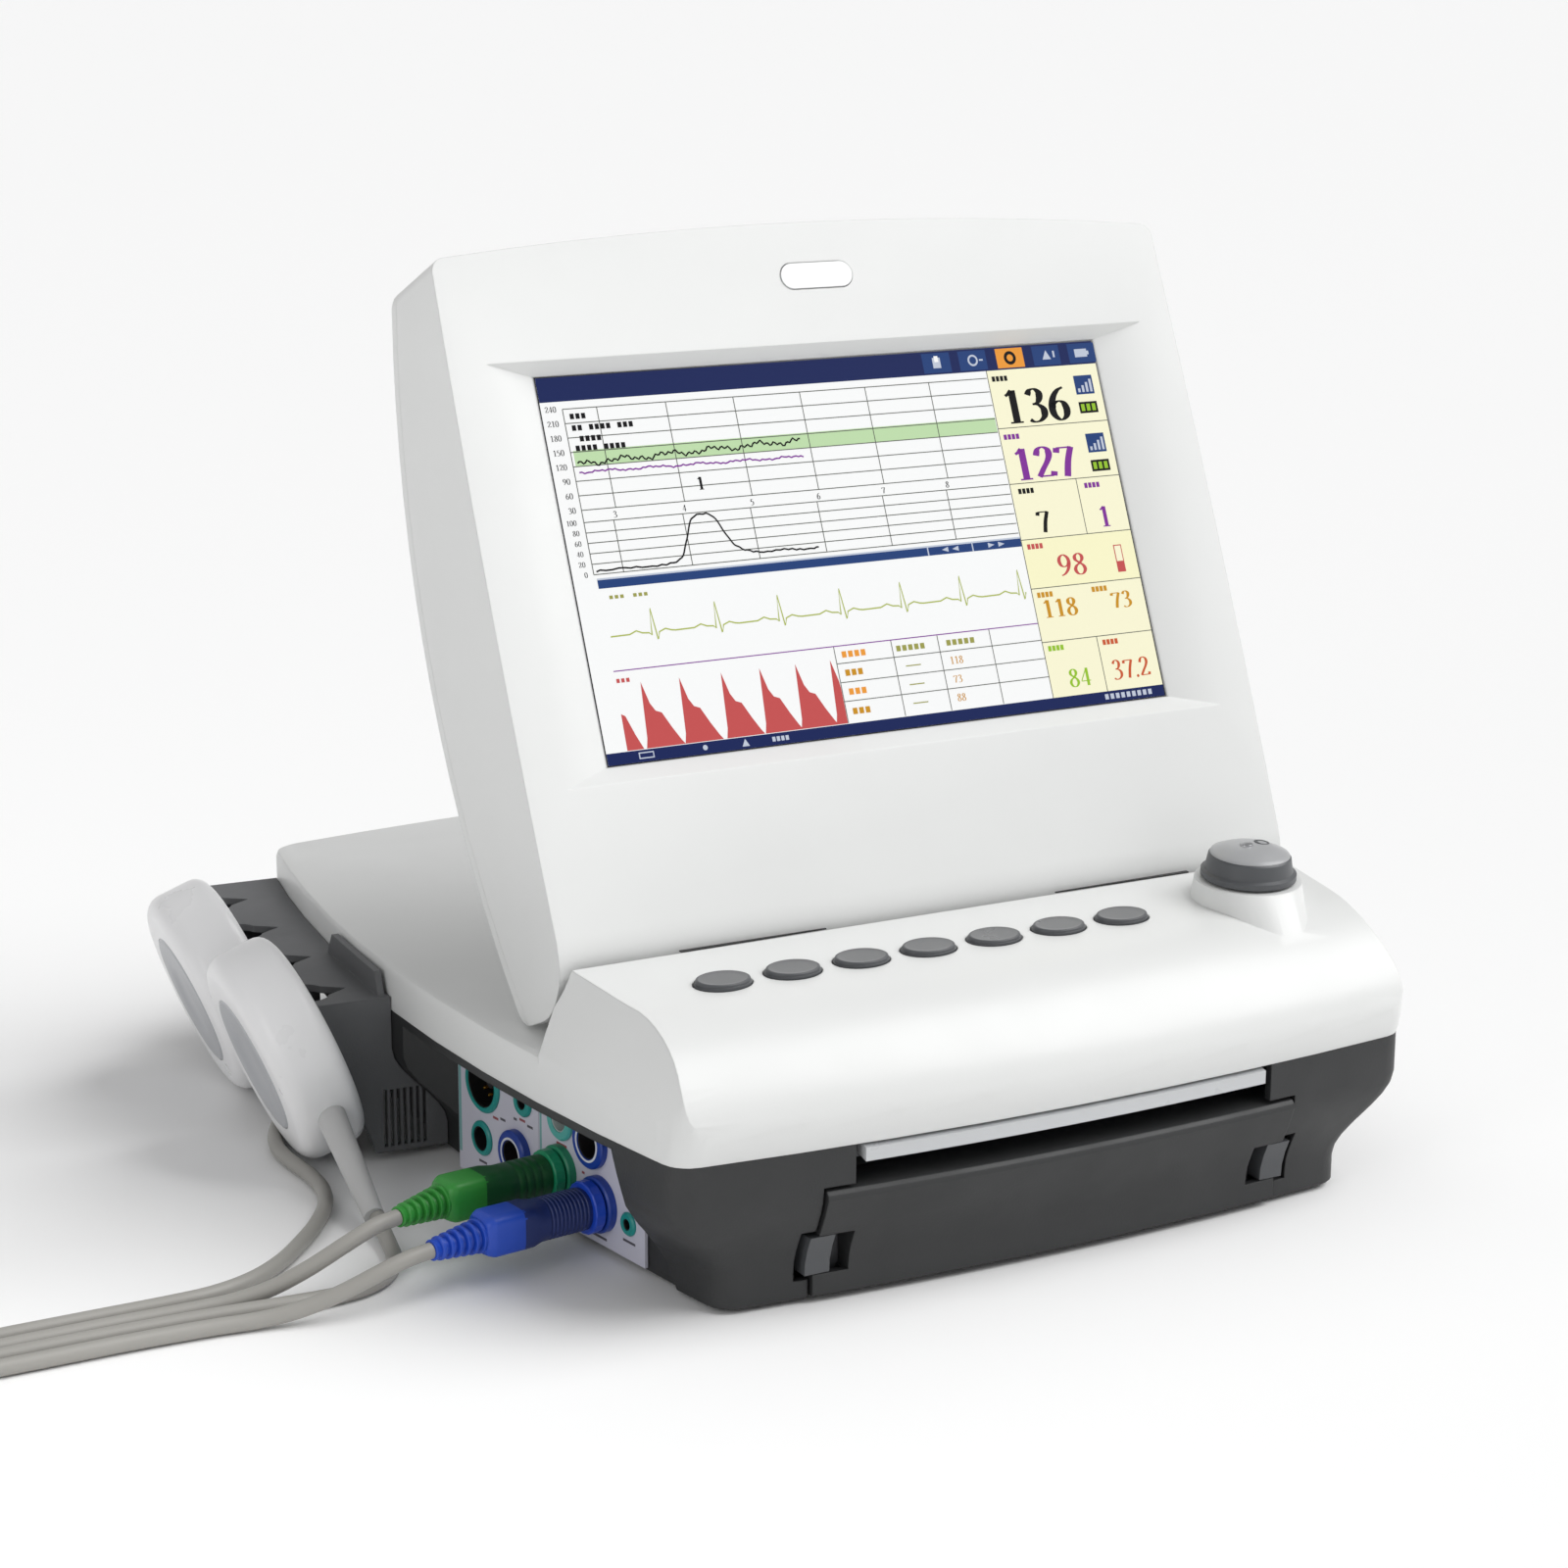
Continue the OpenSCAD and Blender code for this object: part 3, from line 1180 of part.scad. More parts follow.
// Each coil: outer layer of coil_turns inwards, half a turn to climb, and coil_turns outwards again
coil_a = [-405, -44.5];
coil_b = [-420, -143.5];
coil_turns = 4.625;
coil_r = 46.3;
coil_pitch = 6;
coil_total = 2 * coil_turns + 0.5;
coil_steps = 24;
function coil_spot(c, a0, s, t) =
    let (
        r = coil_r - coil_pitch * min(t, coil_total - t),
        u = min(1, max(0, (t - coil_turns) / 0.5)),
        a = a0 + s * 360 * t)
    [c[0] + r * cos(a), c[1] + r * sin(a), lead_z + coil_pitch * u * u * (3 - 2 * u)];
function coil_path(c, a0, s) =
    [for (i = [0 : round(coil_total * coil_steps)]) coil_spot(c, a0, s, i / coil_steps)];

function unit(v) = v / norm(v);
// Directions along path p, with those of its two ends given, so that two stretches can share an end face
function tangents(p, first, last) = concat([unit(first)],
    [for (i = [1 : len(p) - 2]) unit(p[i + 1] - p[i - 1])], [unit(last)]);
// Rings of a tube of radius r along path p, each with n points
function tube_rings(p, r, n, first, last) =
    let (t = tangents(p, first, last))
    [for (i = [0 : len(p) - 1])
        let (side = unit(cross([0, 0, 1], t[i])), up = cross(t[i], side))
        [for (k = [0 : n - 1]) p[i] + r * (cos(360 * k / n) * side + sin(360 * k / n) * up)]];

// Smooth curve through hand-placed points, with m steps from one to the next
function smooth(p, m) = let (n = len(p)) concat(
    [for (i = [0 : n - 2]) for (j = [0 : m - 1])
        let (t = j / m, a = p[max(i - 1, 0)], b = p[i], c = p[i + 1], d = p[min(i + 2, n - 1)])
        0.5 * (2 * b + (c - a) * t + (2 * a - 5 * b + 4 * c - d) * t * t + (3 * b - a - 3 * c + d) * t * t * t)],
    [p[n - 1]]);

function path_length(p) = [for (i = [1 : len(p) - 1]) norm(p[i] - p[i - 1])] * [for (i = [1 : len(p) - 1]) 1];
// Least gap between stretches of one coil that lie more than a third of a turn apart
function coil_gap(p) = min([for (i = [0 : len(p) - 1]) for (j = [i + 8 : 1 : len(p) - 1]) norm(p[i] - p[j])]) - lead_d;
echo(coil_gap = coil_gap(coil_path(coil_a, -90, -1)));
echo(green_lead = path_length(smooth(green_run, 2)) + path_length(coil_path(coil_a, -90, -1))
    + path_length(smooth(green_tail, 2)));
echo(blue_lead = path_length(smooth(blue_run, 2)) + path_length(coil_path(coil_b, 90, 1))
    + path_length(smooth(blue_tail, 2)));

module lead(p, n, first, last) {
    color([0.62, 0.6, 0.56]) skin(tube_rings(p, lead_d / 2, n, first, last));
}
function end_step(p) = p[len(p) - 1] - p[len(p) - 2];

module lead_green_run() { lead(smooth(green_run, 2), 8, plug_way(green_flex), [-1, 0, 0]); }
module lead_green_coil() { lead(coil_path(coil_a, -90, -1), 6, [-1, 0, 0], [0, -1, 0]); }
module lead_green_tail() { lead(smooth(green_tail, 2), 8, [0, -1, 0], end_step(green_tail)); }
module lead_blue_run() { lead(smooth(blue_run, 2), 8, plug_way(blue_flex), [0, -1, 0]); }
module lead_blue_coil() { lead(coil_path(coil_b, 90, 1), 6, [-1, 0, 0], [0, 1, 0]); }
module lead_blue_tail() { lead(smooth(blue_tail, 2), 8, [1, 0, 0], end_step(blue_tail)); }

placed() base_tub();
placed() top_cover();
placed() rubber_feet();
placed() case_screws();
placed() connector_panel_rear();
placed() connector_panel_front();
placed() ecg_socket();
placed() spo2_socket();
placed() small_jacks();
placed() domed_socket();
placed() pressure_port();
placed() ring_socket();
placed() green_socket();
placed() blue_socket();
placed() plug_green();
placed() plug_blue();
placed() lead_green_run();
placed() lead_green_coil();
placed() lead_green_tail();
placed() lead_blue_run();
placed() lead_blue_coil();
placed() lead_blue_tail();
placed() transducer_rack();
placed() toco_case();
placed() toco_face();
placed() toco_boot();
placed() ultrasound_case();
placed() ultrasound_face();
placed() ultrasound_boot();
placed() screen_front_shell();
placed() screen_rear_shell();
placed() screen_chassis();
placed() lcd_module();
placed() display_window();
placed() alarm_lens();
placed() hinge_brackets();
placed() hinge_pins();
placed() key_1();
placed() key_2();
placed() key_3();
placed() key_4();
placed() key_5();
placed() key_6();
placed() key_7();
placed() key_board();
placed() control_knob();
placed() encoder_sleeve();
placed() drawer_front();
placed() drawer_tray();
placed() paper_pack();
placed() platen_roller();
placed() print_head();
placed() tear_bar();
placed() latch_left();
placed() latch_right();
placed() power_inlet();
placed() main_board();
placed() power_supply();
placed() loudspeaker();
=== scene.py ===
"""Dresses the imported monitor: camera, leads, materials, display picture, small parts and studio."""
import math

import bmesh
import bpy
from mathutils import Matrix, Vector


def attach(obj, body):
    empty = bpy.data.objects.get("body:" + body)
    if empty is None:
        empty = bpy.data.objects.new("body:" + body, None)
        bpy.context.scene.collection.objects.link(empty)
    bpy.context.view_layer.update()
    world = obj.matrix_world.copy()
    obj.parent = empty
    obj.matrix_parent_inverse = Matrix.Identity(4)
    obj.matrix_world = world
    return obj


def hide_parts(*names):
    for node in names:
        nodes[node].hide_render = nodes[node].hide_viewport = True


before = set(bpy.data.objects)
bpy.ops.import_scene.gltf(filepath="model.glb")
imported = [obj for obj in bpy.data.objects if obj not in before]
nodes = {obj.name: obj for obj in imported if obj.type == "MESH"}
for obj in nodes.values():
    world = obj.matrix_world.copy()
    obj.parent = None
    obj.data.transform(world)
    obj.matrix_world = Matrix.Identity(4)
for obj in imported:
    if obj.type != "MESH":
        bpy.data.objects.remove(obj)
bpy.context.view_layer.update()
scene = bpy.context.scene

MM = 0.001
# The cabinet's middle in the shared frame, in millimetres
CABINET = Vector((28.5, 1.5, 0.0))


def at(x, y, z):
    """A place given from the cabinet's middle in millimetres, as metres in the shared frame."""
    return (Vector((x, y, z)) + CABINET) * MM


def placed(name, data):
    """New object in the scene that shows the data."""
    thing = bpy.data.objects.new(name, data)
    scene.collection.objects.link(thing)
    return thing


# Camera

# Turn, dip and lean in degrees; the point looked at in millimetres, and its distance in metres
CAMERA_TURNS = (29.1, 14.5, 0.3)
CAMERA_LENS = 79.17
CAMERA_AIM = Vector((25.6, 5.0, 118.9))
CAMERA_DISTANCE = 1.2509


def place_camera():
    yaw, pitch, roll = (math.radians(a) for a in CAMERA_TURNS)
    forward = Vector((math.sin(yaw) * math.cos(pitch), math.cos(yaw) * math.cos(pitch), -math.sin(pitch)))
    right = Vector((math.cos(yaw), -math.sin(yaw), 0))
    up = right.cross(forward)
    across = right * math.cos(roll) + up * math.sin(roll)
    upright = up * math.cos(roll) - right * math.sin(roll)
    camera = bpy.data.cameras.new("camera")
    camera.sensor_width = 36
    camera.lens = CAMERA_LENS
    camera.clip_start = 0.05
    camera.clip_end = 120
    matrix = Matrix((across, upright, -forward)).transposed().to_4x4()
    matrix.translation = CAMERA_AIM * MM - forward * CAMERA_DISTANCE
    scene.camera = placed("camera", camera)
    scene.camera.matrix_world = matrix


place_camera()


# Materials

def new_material(name):
    material = bpy.data.materials.new(name)
    material.use_nodes = True
    tree = material.node_tree
    shader = next(n for n in tree.nodes if n.type == "BSDF_PRINCIPLED")
    return material, tree, shader


def fill(node, values):
    """Sets a node's inputs to fixed values."""
    for key, value in values.items():
        node.inputs[key].default_value = value


def add(tree, kind, values=None, **settings):
    """New node with its settings and the fixed values of its inputs."""
    node = tree.nodes.new(kind)
    for key, value in settings.items():
        setattr(node, key, value)
    fill(node, values or {})
    return node


def locate(tree, node, space="Object"):
    """Feeds a node's vector with the piece's own coordinates, and returns the node."""
    tree.links.new(add(tree, "ShaderNodeTexCoord").outputs[space], node.inputs["Vector"])
    return node


def noise(tree, scale, detail):
    return locate(tree, add(tree, "ShaderNodeTexNoise", {"Scale": scale, "Detail": detail})).outputs["Fac"]


def spread(tree, value, low, high):
    """Maps a noise of 0.3 to 0.7 onto low to high."""
    limits = {"From Min": 0.3, "From Max": 0.7, "To Min": low, "To Max": high}
    mapped = add(tree, "ShaderNodeMapRange", limits)
    tree.links.new(value, mapped.inputs["Value"])
    return mapped.outputs["Result"]


def shades(tree, factor, first, second):
    mix = add(tree, "ShaderNodeMix", {"A": (*first, 1), "B": (*second, 1)}, data_type="RGBA")
    tree.links.new(factor, mix.inputs["Factor"])
    return mix.outputs["Result"]


def bumps(tree, shader, height, strength, distance):
    """Lets a height shape the shader's surface, and returns the node that does it."""
    bump = add(tree, "ShaderNodeBump", {"Strength": strength, "Distance": distance})
    tree.links.new(height, bump.inputs["Height"])
    tree.links.new(bump.outputs["Normal"], shader.inputs["Normal"])
    return bump


def linear(value):
    value = value / 255
    return value / 12.92 if value <= 0.04045 else ((value + 0.055) / 1.055) ** 2.4


def rgb(*values):
    return tuple(linear(v) for v in values)


def moulded(name, colour, rough, grain, grain_scale, vary=0.04, edge=0.0):
    """Moulded plastic or rubber: slightly uneven colour and gloss, a fine grain, and softened edges."""
    material, tree, shader = new_material(name)
    darker = tuple(c * (1 - vary) for c in rgb(*colour))
    lighter = tuple(min(1, c * (1 + vary)) for c in rgb(*colour))
    cloud = spread(tree, noise(tree, 9, 3), 0, 1)
    tree.links.new(shades(tree, cloud, darker, lighter), shader.inputs["Base Color"])
    gloss = spread(tree, noise(tree, 45, 4), rough * 0.9, min(1, rough * 1.12))
    tree.links.new(gloss, shader.inputs["Roughness"])
    bump = bumps(tree, shader, noise(tree, grain_scale, 2), grain, 0.0002)
    if edge:
        rounded = add(tree, "ShaderNodeBevel", {"Radius": edge}, samples=4)
        tree.links.new(rounded.outputs["Normal"], bump.inputs["Normal"])
    return material


def metal(name, colour, rough, brushed=0.1):
    """Brushed metal: streaks along X in colour, gloss and height."""
    material, tree, shader = new_material(name)
    fill(shader, {"Metallic": 1})
    stretch = locate(tree, add(tree, "ShaderNodeMapping", {"Scale": (20, 900, 900)}))
    texture = add(tree, "ShaderNodeTexNoise", {"Scale": 1})
    tree.links.new(stretch.outputs["Vector"], texture.inputs["Vector"])
    streaks = texture.outputs["Fac"]
    light = rgb(*colour)
    dark = tuple(c * 0.85 for c in light)
    tree.links.new(shades(tree, streaks, dark, light), shader.inputs["Base Color"])
    tree.links.new(spread(tree, streaks, rough * 0.8, rough * 1.25), shader.inputs["Roughness"])
    bumps(tree, shader, streaks, brushed, 0.0001)
    return material


COVER = moulded("cover_white", (222, 223, 222), 0.34, 0.05, 1300, 0.015, 0.0007)
BASE = moulded("base_grey", (42, 43, 44), 0.52, 0.3, 1500, 0.05, 0.0007)
RACK = moulded("rack_grey", (98, 99, 101), 0.5, 0.3, 1500, 0.05, 0.0006)
CONTROL = moulded("control_grey", (78, 80, 83), 0.42, 0.18, 1700, 0.05, 0.0004)
LID = moulded("knob_lid", (160, 161, 163), 0.3, 0.08, 1700, 0.04, 0.0003)
KEY_TOP = moulded("key_top_grey", (94, 95, 97), 0.3, 0.1, 1700, 0.06)
RUBBER = moulded("foot_rubber", (32, 32, 32), 0.8, 0.4, 1200)
STEEL = metal("steel_plain", (180, 181, 183), 0.32)
STEEL_DARK = metal("steel_dark", (92, 92, 95), 0.4)
GOLD = metal("contact_gold", (226, 180, 86), 0.25, 0.02)
PANEL = moulded("panel_pale", (208, 207, 220), 0.45, 0.08, 1800, 0.03, 0.0003)
TEAL = moulded("socket_teal", (30, 148, 142), 0.36, 0.06, 1500, 0.06, 0.0003)
PALE_TEAL = moulded("socket_pale_teal", (84, 180, 172), 0.36, 0.06, 1500, 0.06, 0.0003)
BLUE = moulded("socket_blue", (22, 62, 158), 0.34, 0.06, 1500, 0.06, 0.0003)
GREEN_RIM = moulded("socket_green", (28, 140, 100), 0.36, 0.06, 1500, 0.06, 0.0003)
PLUG_GREEN = moulded("plug_green_body", (24, 88, 44), 0.42, 0.14, 1600, 0.1)
PLUG_GREEN_END = moulded("plug_green_end", (52, 150, 58), 0.4, 0.14, 1600, 0.08)
PLUG_TEAL = moulded("plug_teal_collar", (24, 152, 104), 0.38, 0.1, 1600, 0.06)
PLUG_BLUE = moulded("plug_blue_body", (28, 46, 108), 0.42, 0.14, 1600, 0.1)
PLUG_BLUE_END = moulded("plug_blue_end", (30, 76, 192), 0.4, 0.14, 1600, 0.08)
PLUG_BLUE_COLLAR = moulded("plug_blue_collar", (28, 74, 200), 0.36, 0.1, 1600, 0.06)
JACKET = moulded("lead_jacket", (158, 156, 151), 0.45, 0.12, 1400, 0.06)
PUCK = moulded("transducer_white", (238, 238, 239), 0.3, 0.04, 1400, 0.015)
PUCK_FACE = moulded("transducer_face", (176, 178, 182), 0.36, 0.05, 1400, 0.03, 0.0003)
BOOT = moulded("boot_grey", (190, 190, 190), 0.5, 0.15, 1400, 0.04)
GLASS = moulded("display_glass", (28, 28, 32), 0.12, 0.0, 900, 0.02)
LENS = moulded("lens_clear", (240, 241, 241), 0.22, 0.03, 900, 0.01, 0.0003)
CAN = metal("lcd_grey", (150, 150, 152), 0.4)
BOARD = moulded("board_green", (20, 92, 48), 0.4, 0.1, 900, 0.1)
TRAY = moulded("tray_grey", (92, 93, 96), 0.5, 0.25, 1500, 0.04, 0.0004)
BAR = moulded("bar_light", (196, 198, 200), 0.3, 0.04, 1500, 0.02, 0.0003)
BLACK = moulded("inlet_black", (38, 38, 39), 0.45, 0.2, 1500, 0.04, 0.0004)
ROLLER = moulded("roller_rubber", (40, 40, 41), 0.7, 0.3, 1600)
ALLOY = metal("supply_metal", (196, 197, 200), 0.3)
HEAD = metal("print_head_dark", (120, 121, 124), 0.4)
SPEAKER = moulded("speaker_dark", (50, 50, 52), 0.6, 0.3, 900)
# Near black: the real black insides of the sockets, and also painted shade on the strips that stand in for
# the console's slits
BLACK_INSIDES_AND_SLIT_SHADE = moulded("socket_inside_and_slit_shade", (18, 18, 20), 0.5, 0.1, 1200)
PALE_INSIDE = moulded("socket_pale_inside", (190, 200, 198), 0.4, 0.08, 1500)
RING_WHITE = moulded("socket_ring_white", (226, 228, 232), 0.35, 0.05, 1500)
STRIP_TEAL = moulded("panel_strip_teal", (126, 176, 176), 0.4, 0.06, 1500)
MARK_DARK = moulded("panel_mark_dark", (84, 82, 92), 0.5, 0.05, 1500)
MARK_RED = moulded("panel_mark_red", (150, 78, 84), 0.5, 0.05, 1500)


def paper_material():
    """Folded paper: pale pink with the fold lines of the pack showing on its sides."""
    material, tree, shader = new_material("paper_pink")
    fill(shader, {"Roughness": 0.75})
    split = locate(tree, add(tree, "ShaderNodeSeparateXYZ"))
    layers = add(tree, "ShaderNodeMath", {1: 0.00035}, operation="PINGPONG")
    tree.links.new(split.outputs["Z"], layers.inputs[0])
    scaled = add(tree, "ShaderNodeMath", {1: 2800}, operation="MULTIPLY")
    tree.links.new(layers.outputs[0], scaled.inputs[0])
    folds = scaled.outputs[0]
    tree.links.new(shades(tree, folds, rgb(222, 188, 184), rgb(244, 226, 222)), shader.inputs["Base Color"])
    bumps(tree, shader, folds, 0.5, 0.0003)
    return material


PAPER = paper_material()

NODE_MATERIALS = {name: material for material, names in (
    (BASE, "base_tub drawer_front"),
    (COVER, "top_cover screen_front_shell screen_rear_shell"),
    (RUBBER, "rubber_feet"),
    (STEEL, "case_screws screen_chassis hinge_brackets encoder_sleeve"),
    (PANEL, "connector_panel_rear connector_panel_front"),
    (TEAL, "ecg_socket spo2_socket small_jacks"),
    (BLUE, "domed_socket ring_socket blue_socket"),
    (PALE_TEAL, "pressure_port"),
    (GREEN_RIM, "green_socket"),
    (RACK, "transducer_rack"),
    (PUCK, "toco_case ultrasound_case"),
    (PUCK_FACE, "toco_face ultrasound_face"),
    (BOOT, "toco_boot ultrasound_boot"),
    (CAN, "lcd_module"),
    (GLASS, "display_window"),
    (LENS, "alarm_lens"),
    (STEEL_DARK, "hinge_pins"),
    (BOARD, "key_board main_board"),
    (CONTROL, "control_knob latch_left latch_right key_1 key_2 key_3 key_4 key_5 key_6 key_7"),
    (TRAY, "drawer_tray"),
    (PAPER, "paper_pack"),
    (ROLLER, "platen_roller"),
    (HEAD, "print_head"),
    (BAR, "tear_bar"),
    (BLACK, "power_inlet"),
    (ALLOY, "power_supply"),
    (SPEAKER, "loudspeaker"),
) for name in names.split()}


def smoothing_group():
    """Node group that welds a solid's facets and shades them smooth where they meet at a small angle."""
    group = bpy.data.node_groups.new("smooth_facets", "GeometryNodeTree")
    for way in ("INPUT", "OUTPUT"):
        group.interface.new_socket("Geometry", in_out=way, socket_type="NodeSocketGeometry")
    start = add(group, "NodeGroupInput")
    end = add(group, "NodeGroupOutput")
    drop = add(group, "GeometryNodeRemoveAttribute", {"Name": "custom_normal"})
    weld = add(group, "GeometryNodeMergeByDistance", {"Distance": 0.000002})
    angle = add(group, "GeometryNodeInputMeshEdgeAngle")
    limit = {"B": math.radians(27)}
    sharp = add(group, "FunctionNodeCompare", limit, data_type="FLOAT", operation="LESS_THAN")
    faces = add(group, "GeometryNodeSetShadeSmooth", domain="FACE")
    edges = add(group, "GeometryNodeSetShadeSmooth", domain="EDGE")
    link = group.links.new
    link(start.outputs[0], drop.inputs["Geometry"])
    link(drop.outputs["Geometry"], weld.inputs["Geometry"])
    link(weld.outputs["Geometry"], faces.inputs["Geometry"])
    link(faces.outputs["Geometry"], edges.inputs["Geometry"])
    link(angle.outputs["Unsigned Angle"], sharp.inputs["A"])
    link(sharp.outputs["Result"], edges.inputs["Shade Smooth"])
    link(edges.outputs["Geometry"], end.inputs[0])
    return group


SMOOTHING = smoothing_group()

for name, node in nodes.items():
    slots = node.data.materials
    if name in NODE_MATERIALS:
        for index in range(len(slots)):
            slots[index] = NODE_MATERIALS[name]
        if not slots:
            slots.append(NODE_MATERIALS[name])
    if slots:
        node.modifiers.new("smooth_facets", "NODES").node_group = SMOOTHING


# Helpers for the pieces made here

def mesh_piece(name, points, faces, material, body, slot, smooth=True, closed=True):
    """Piece in metres that rides on a body; a closed one gets its faces turned outwards."""
    mesh = bpy.data.meshes.new(name)
    mesh.from_pydata([tuple(p) for p in points], [], faces)
    mesh.validate()
    if closed:
        shell = bmesh.new()
        shell.from_mesh(mesh)
        bmesh.ops.recalc_face_normals(shell, faces=shell.faces)
        shell.to_mesh(mesh)
        shell.free()
    for one in material if isinstance(material, list) else [material]:
        mesh.materials.append(one)
    piece = placed(name, mesh)
    if smooth:
        mesh.polygons.foreach_set("use_smooth", [True] * len(mesh.polygons))
        mesh.set_sharp_from_angle(angle=math.radians(38))
    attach(piece, body)
    return piece


def ring_faces(rings, around):
    """Faces between rings of points, and the two end faces last."""
    faces = []
    for k in range(rings - 1):
        for i in range(around):
            j = (i + 1) % around
            faces.append((k * around + i, k * around + j, (k + 1) * around + j, (k + 1) * around + i))
    faces.append(tuple(reversed(range(around))))
    faces.append(tuple((rings - 1) * around + i for i in range(around)))
    return faces


def turned(profile, matrix, around=64):
    """Points and faces of a profile of (radius, height) turned about Z, ends closed, placed by matrix."""
    points = []
    for radius, height in profile:
        for i in range(around):
            a = 2 * math.pi * i / around
            points.append(matrix @ Vector((radius * math.cos(a), radius * math.sin(a), height)))
    return points, ring_faces(len(profile), around)


def merged(*parts):
    """Several parts' points and faces as one."""
    points, faces = [], []
    for some_points, some_faces in parts:
        shift = len(points)
        points += some_points
        faces += [tuple(i + shift for i in face) for face in some_faces]
    return points, faces


# Leads

LEAD_D = 5.4
# Height of a lead's middle where it lies on the table
LEAD_REST = 2.9
BAY_TURN = math.radians(7.7)
BAY_DIR = Vector((math.sin(BAY_TURN), -math.cos(BAY_TURN), 0))
BAY_OUT = Vector((-math.cos(BAY_TURN), -math.sin(BAY_TURN), 0))
BAY_REAR = Vector((-140, -14.5, 0))
PANEL_T = 1.5
PLUG_L = 44
BOOT_L = 20
# Sockets as place along the bay, height, outer radius, bore radius, stand-out and depth
SOCKETS = {
    "ecg": (17, 38, 10.5, 8.5, 1.2, 12),
    "spo2": (16, 17.8, 6.2, 4.4, 1.2, 10),
    "jack_rear": (42.3, 38.5, 5.2, 2.6, 1.2, 10),
    "jack_front": (105.1, 15, 4, 2, 1.2, 10),
    "domed": (38.2, 19, 8.4, 5, 3, 12),
    "pressure": (65.5, 39.2, 7.2, 4.2, 1.5, 12),
    "ring": (84, 36.8, 8.8, 5.4, 2.5, 12),
    "green": (65.4, 21.3, 9, 6.6, 3, 12),
    "blue": (88.6, 16.9, 9.6, 7.2, 3, 12),
}


def bay_point(along, out):
    return BAY_REAR + BAY_DIR * along + BAY_OUT * out


def bay_matrix(along, height):
    """Takes millimetres, X along the bay, Y up and Z out of it, to metres in the shared frame."""
    origin = bay_point(along, 0) + Vector((0, 0, height)) + CABINET
    matrix = Matrix((BAY_DIR, Vector((0, 0, 1)), BAY_OUT)).transposed().to_4x4()
    matrix.translation = origin
    return Matrix.Scale(MM, 4) @ matrix


def plug_way(flex):
    turn = BAY_TURN + math.radians(flex)
    return Vector((-math.cos(turn), -math.sin(turn), 0))


def plug_end(socket, flex):
    along, height, _, _, stand, _ = SOCKETS[socket]
    point = bay_point(along, PANEL_T + stand + PLUG_L - 2)
    point.z = height
    return point + plug_way(flex) * (BOOT_L + 1.01)


def laid(*places):
    """Points along a lead, which lies on the table where no height is given."""
    return [Vector((*place, LEAD_REST)[:3]) for place in places]


GREEN_FLEX = 12
BLUE_FLEX = 6
GREEN_RUN = [plug_end("green", GREEN_FLEX)] + laid(
    (-206, -95.1, 20.7), (-217, -96.7, 17), (-229, -96.1, 11.3), (-241, -94.3, 6.3), (-253, -92.5, 3.6),
    (-266, -91.4), (-290, -90.8), (-320, -90.8), (-350, -90.8), (-380, -90.8), (-405, -90.8))
GREEN_TAIL = laid(
    (-358.7, -44.5, 8.9), (-358.7, -52.5, 8.9), (-358.4, -60.5, 8.7), (-356.3, -68, 7.6),
    (-351.5, -75, 5.6), (-344.5, -80, 3.8), (-335, -82.5), (-318, -82.8), (-295, -82.9), (-272, -83.1),
    (-256, -82.1), (-241, -77), (-228, -68), (-216.5, -56), (-205.5, -42.5), (-196.8, -28.5), (-192, -14.5),
    (-190.6, -0.5), (-191.2, 11.5), (-191.6, 22.5), (-190.6, 32.5), (-187.2, 43.2), (-182.2, 53.5),
    (-178.6, 60.8, 4.1), (-176.7, 66.2, 6.5), (-176.3, 69.5, 9.1))
BLUE_RUN = [plug_end("blue", BLUE_FLEX)] + laid(
    (-204, -115.3, 16.2), (-215, -115.8, 13.1), (-227, -114.4, 8.6), (-239, -111.7, 4.9),
    (-251, -109.1, 3.1), (-266, -107.1), (-290, -105.9), (-318, -105.7), (-340, -105.7),
    (-353, -107.3, 3.1), (-363, -112.9, 4.6), (-370.3, -121.5, 6.9), (-373.4, -132, 8.6),
    (-373.7, -143.5, 8.9))
BLUE_TAIL = laid(
    (-420, -97.2), (-395, -97.3), (-360, -97.5), (-325, -97.6), (-295, -97.9), (-270, -98.7),
    (-250, -100.1), (-234, -101.5), (-219.5, -101.7), (-207.5, -98.3), (-199, -91.1), (-193.8, -81),
    (-191, -70, 3.2), (-189.4, -61, 4.6), (-188.52, -54.55, 6.55))
COIL_A = (-405, -44.5)
COIL_B = (-420, -143.5)
COIL_TURNS = 4.625
COIL_R = 46.3
COIL_PITCH = 6
COIL_TOTAL = 2 * COIL_TURNS + 0.5
COIL_STEPS = 36


def coil(centre, start, way):
    """One layer wound inwards, half a turn to climb, and a second layer outwards again."""
    points = []
    for i in range(round(COIL_TOTAL * COIL_STEPS) + 1):
        t = i / COIL_STEPS
        radius = COIL_R - COIL_PITCH * min(t, COIL_TOTAL - t)
        climb = min(1, max(0, (t - COIL_TURNS) / 0.5))
        a = math.radians(start + way * 360 * t)
        height = LEAD_REST + COIL_PITCH * climb * climb * (3 - 2 * climb)
        points.append(Vector((centre[0] + radius * math.cos(a), centre[1] + radius * math.sin(a), height)))
    return points


def smooth_path(points, steps):
    """Smooth curve through given points."""
    path = []
    for i in range(len(points) - 1):
        a = points[max(i - 1, 0)]
        b = points[i]
        c = points[i + 1]
        d = points[min(i + 2, len(points) - 1)]
        for j in range(steps):
            t = j / steps
            path.append(0.5 * (2 * b + (c - a) * t + (2 * a - 5 * b + 4 * c - d) * t * t
                               + (3 * b - a - 3 * c + d) * t ** 3))
    return path + [points[-1]]


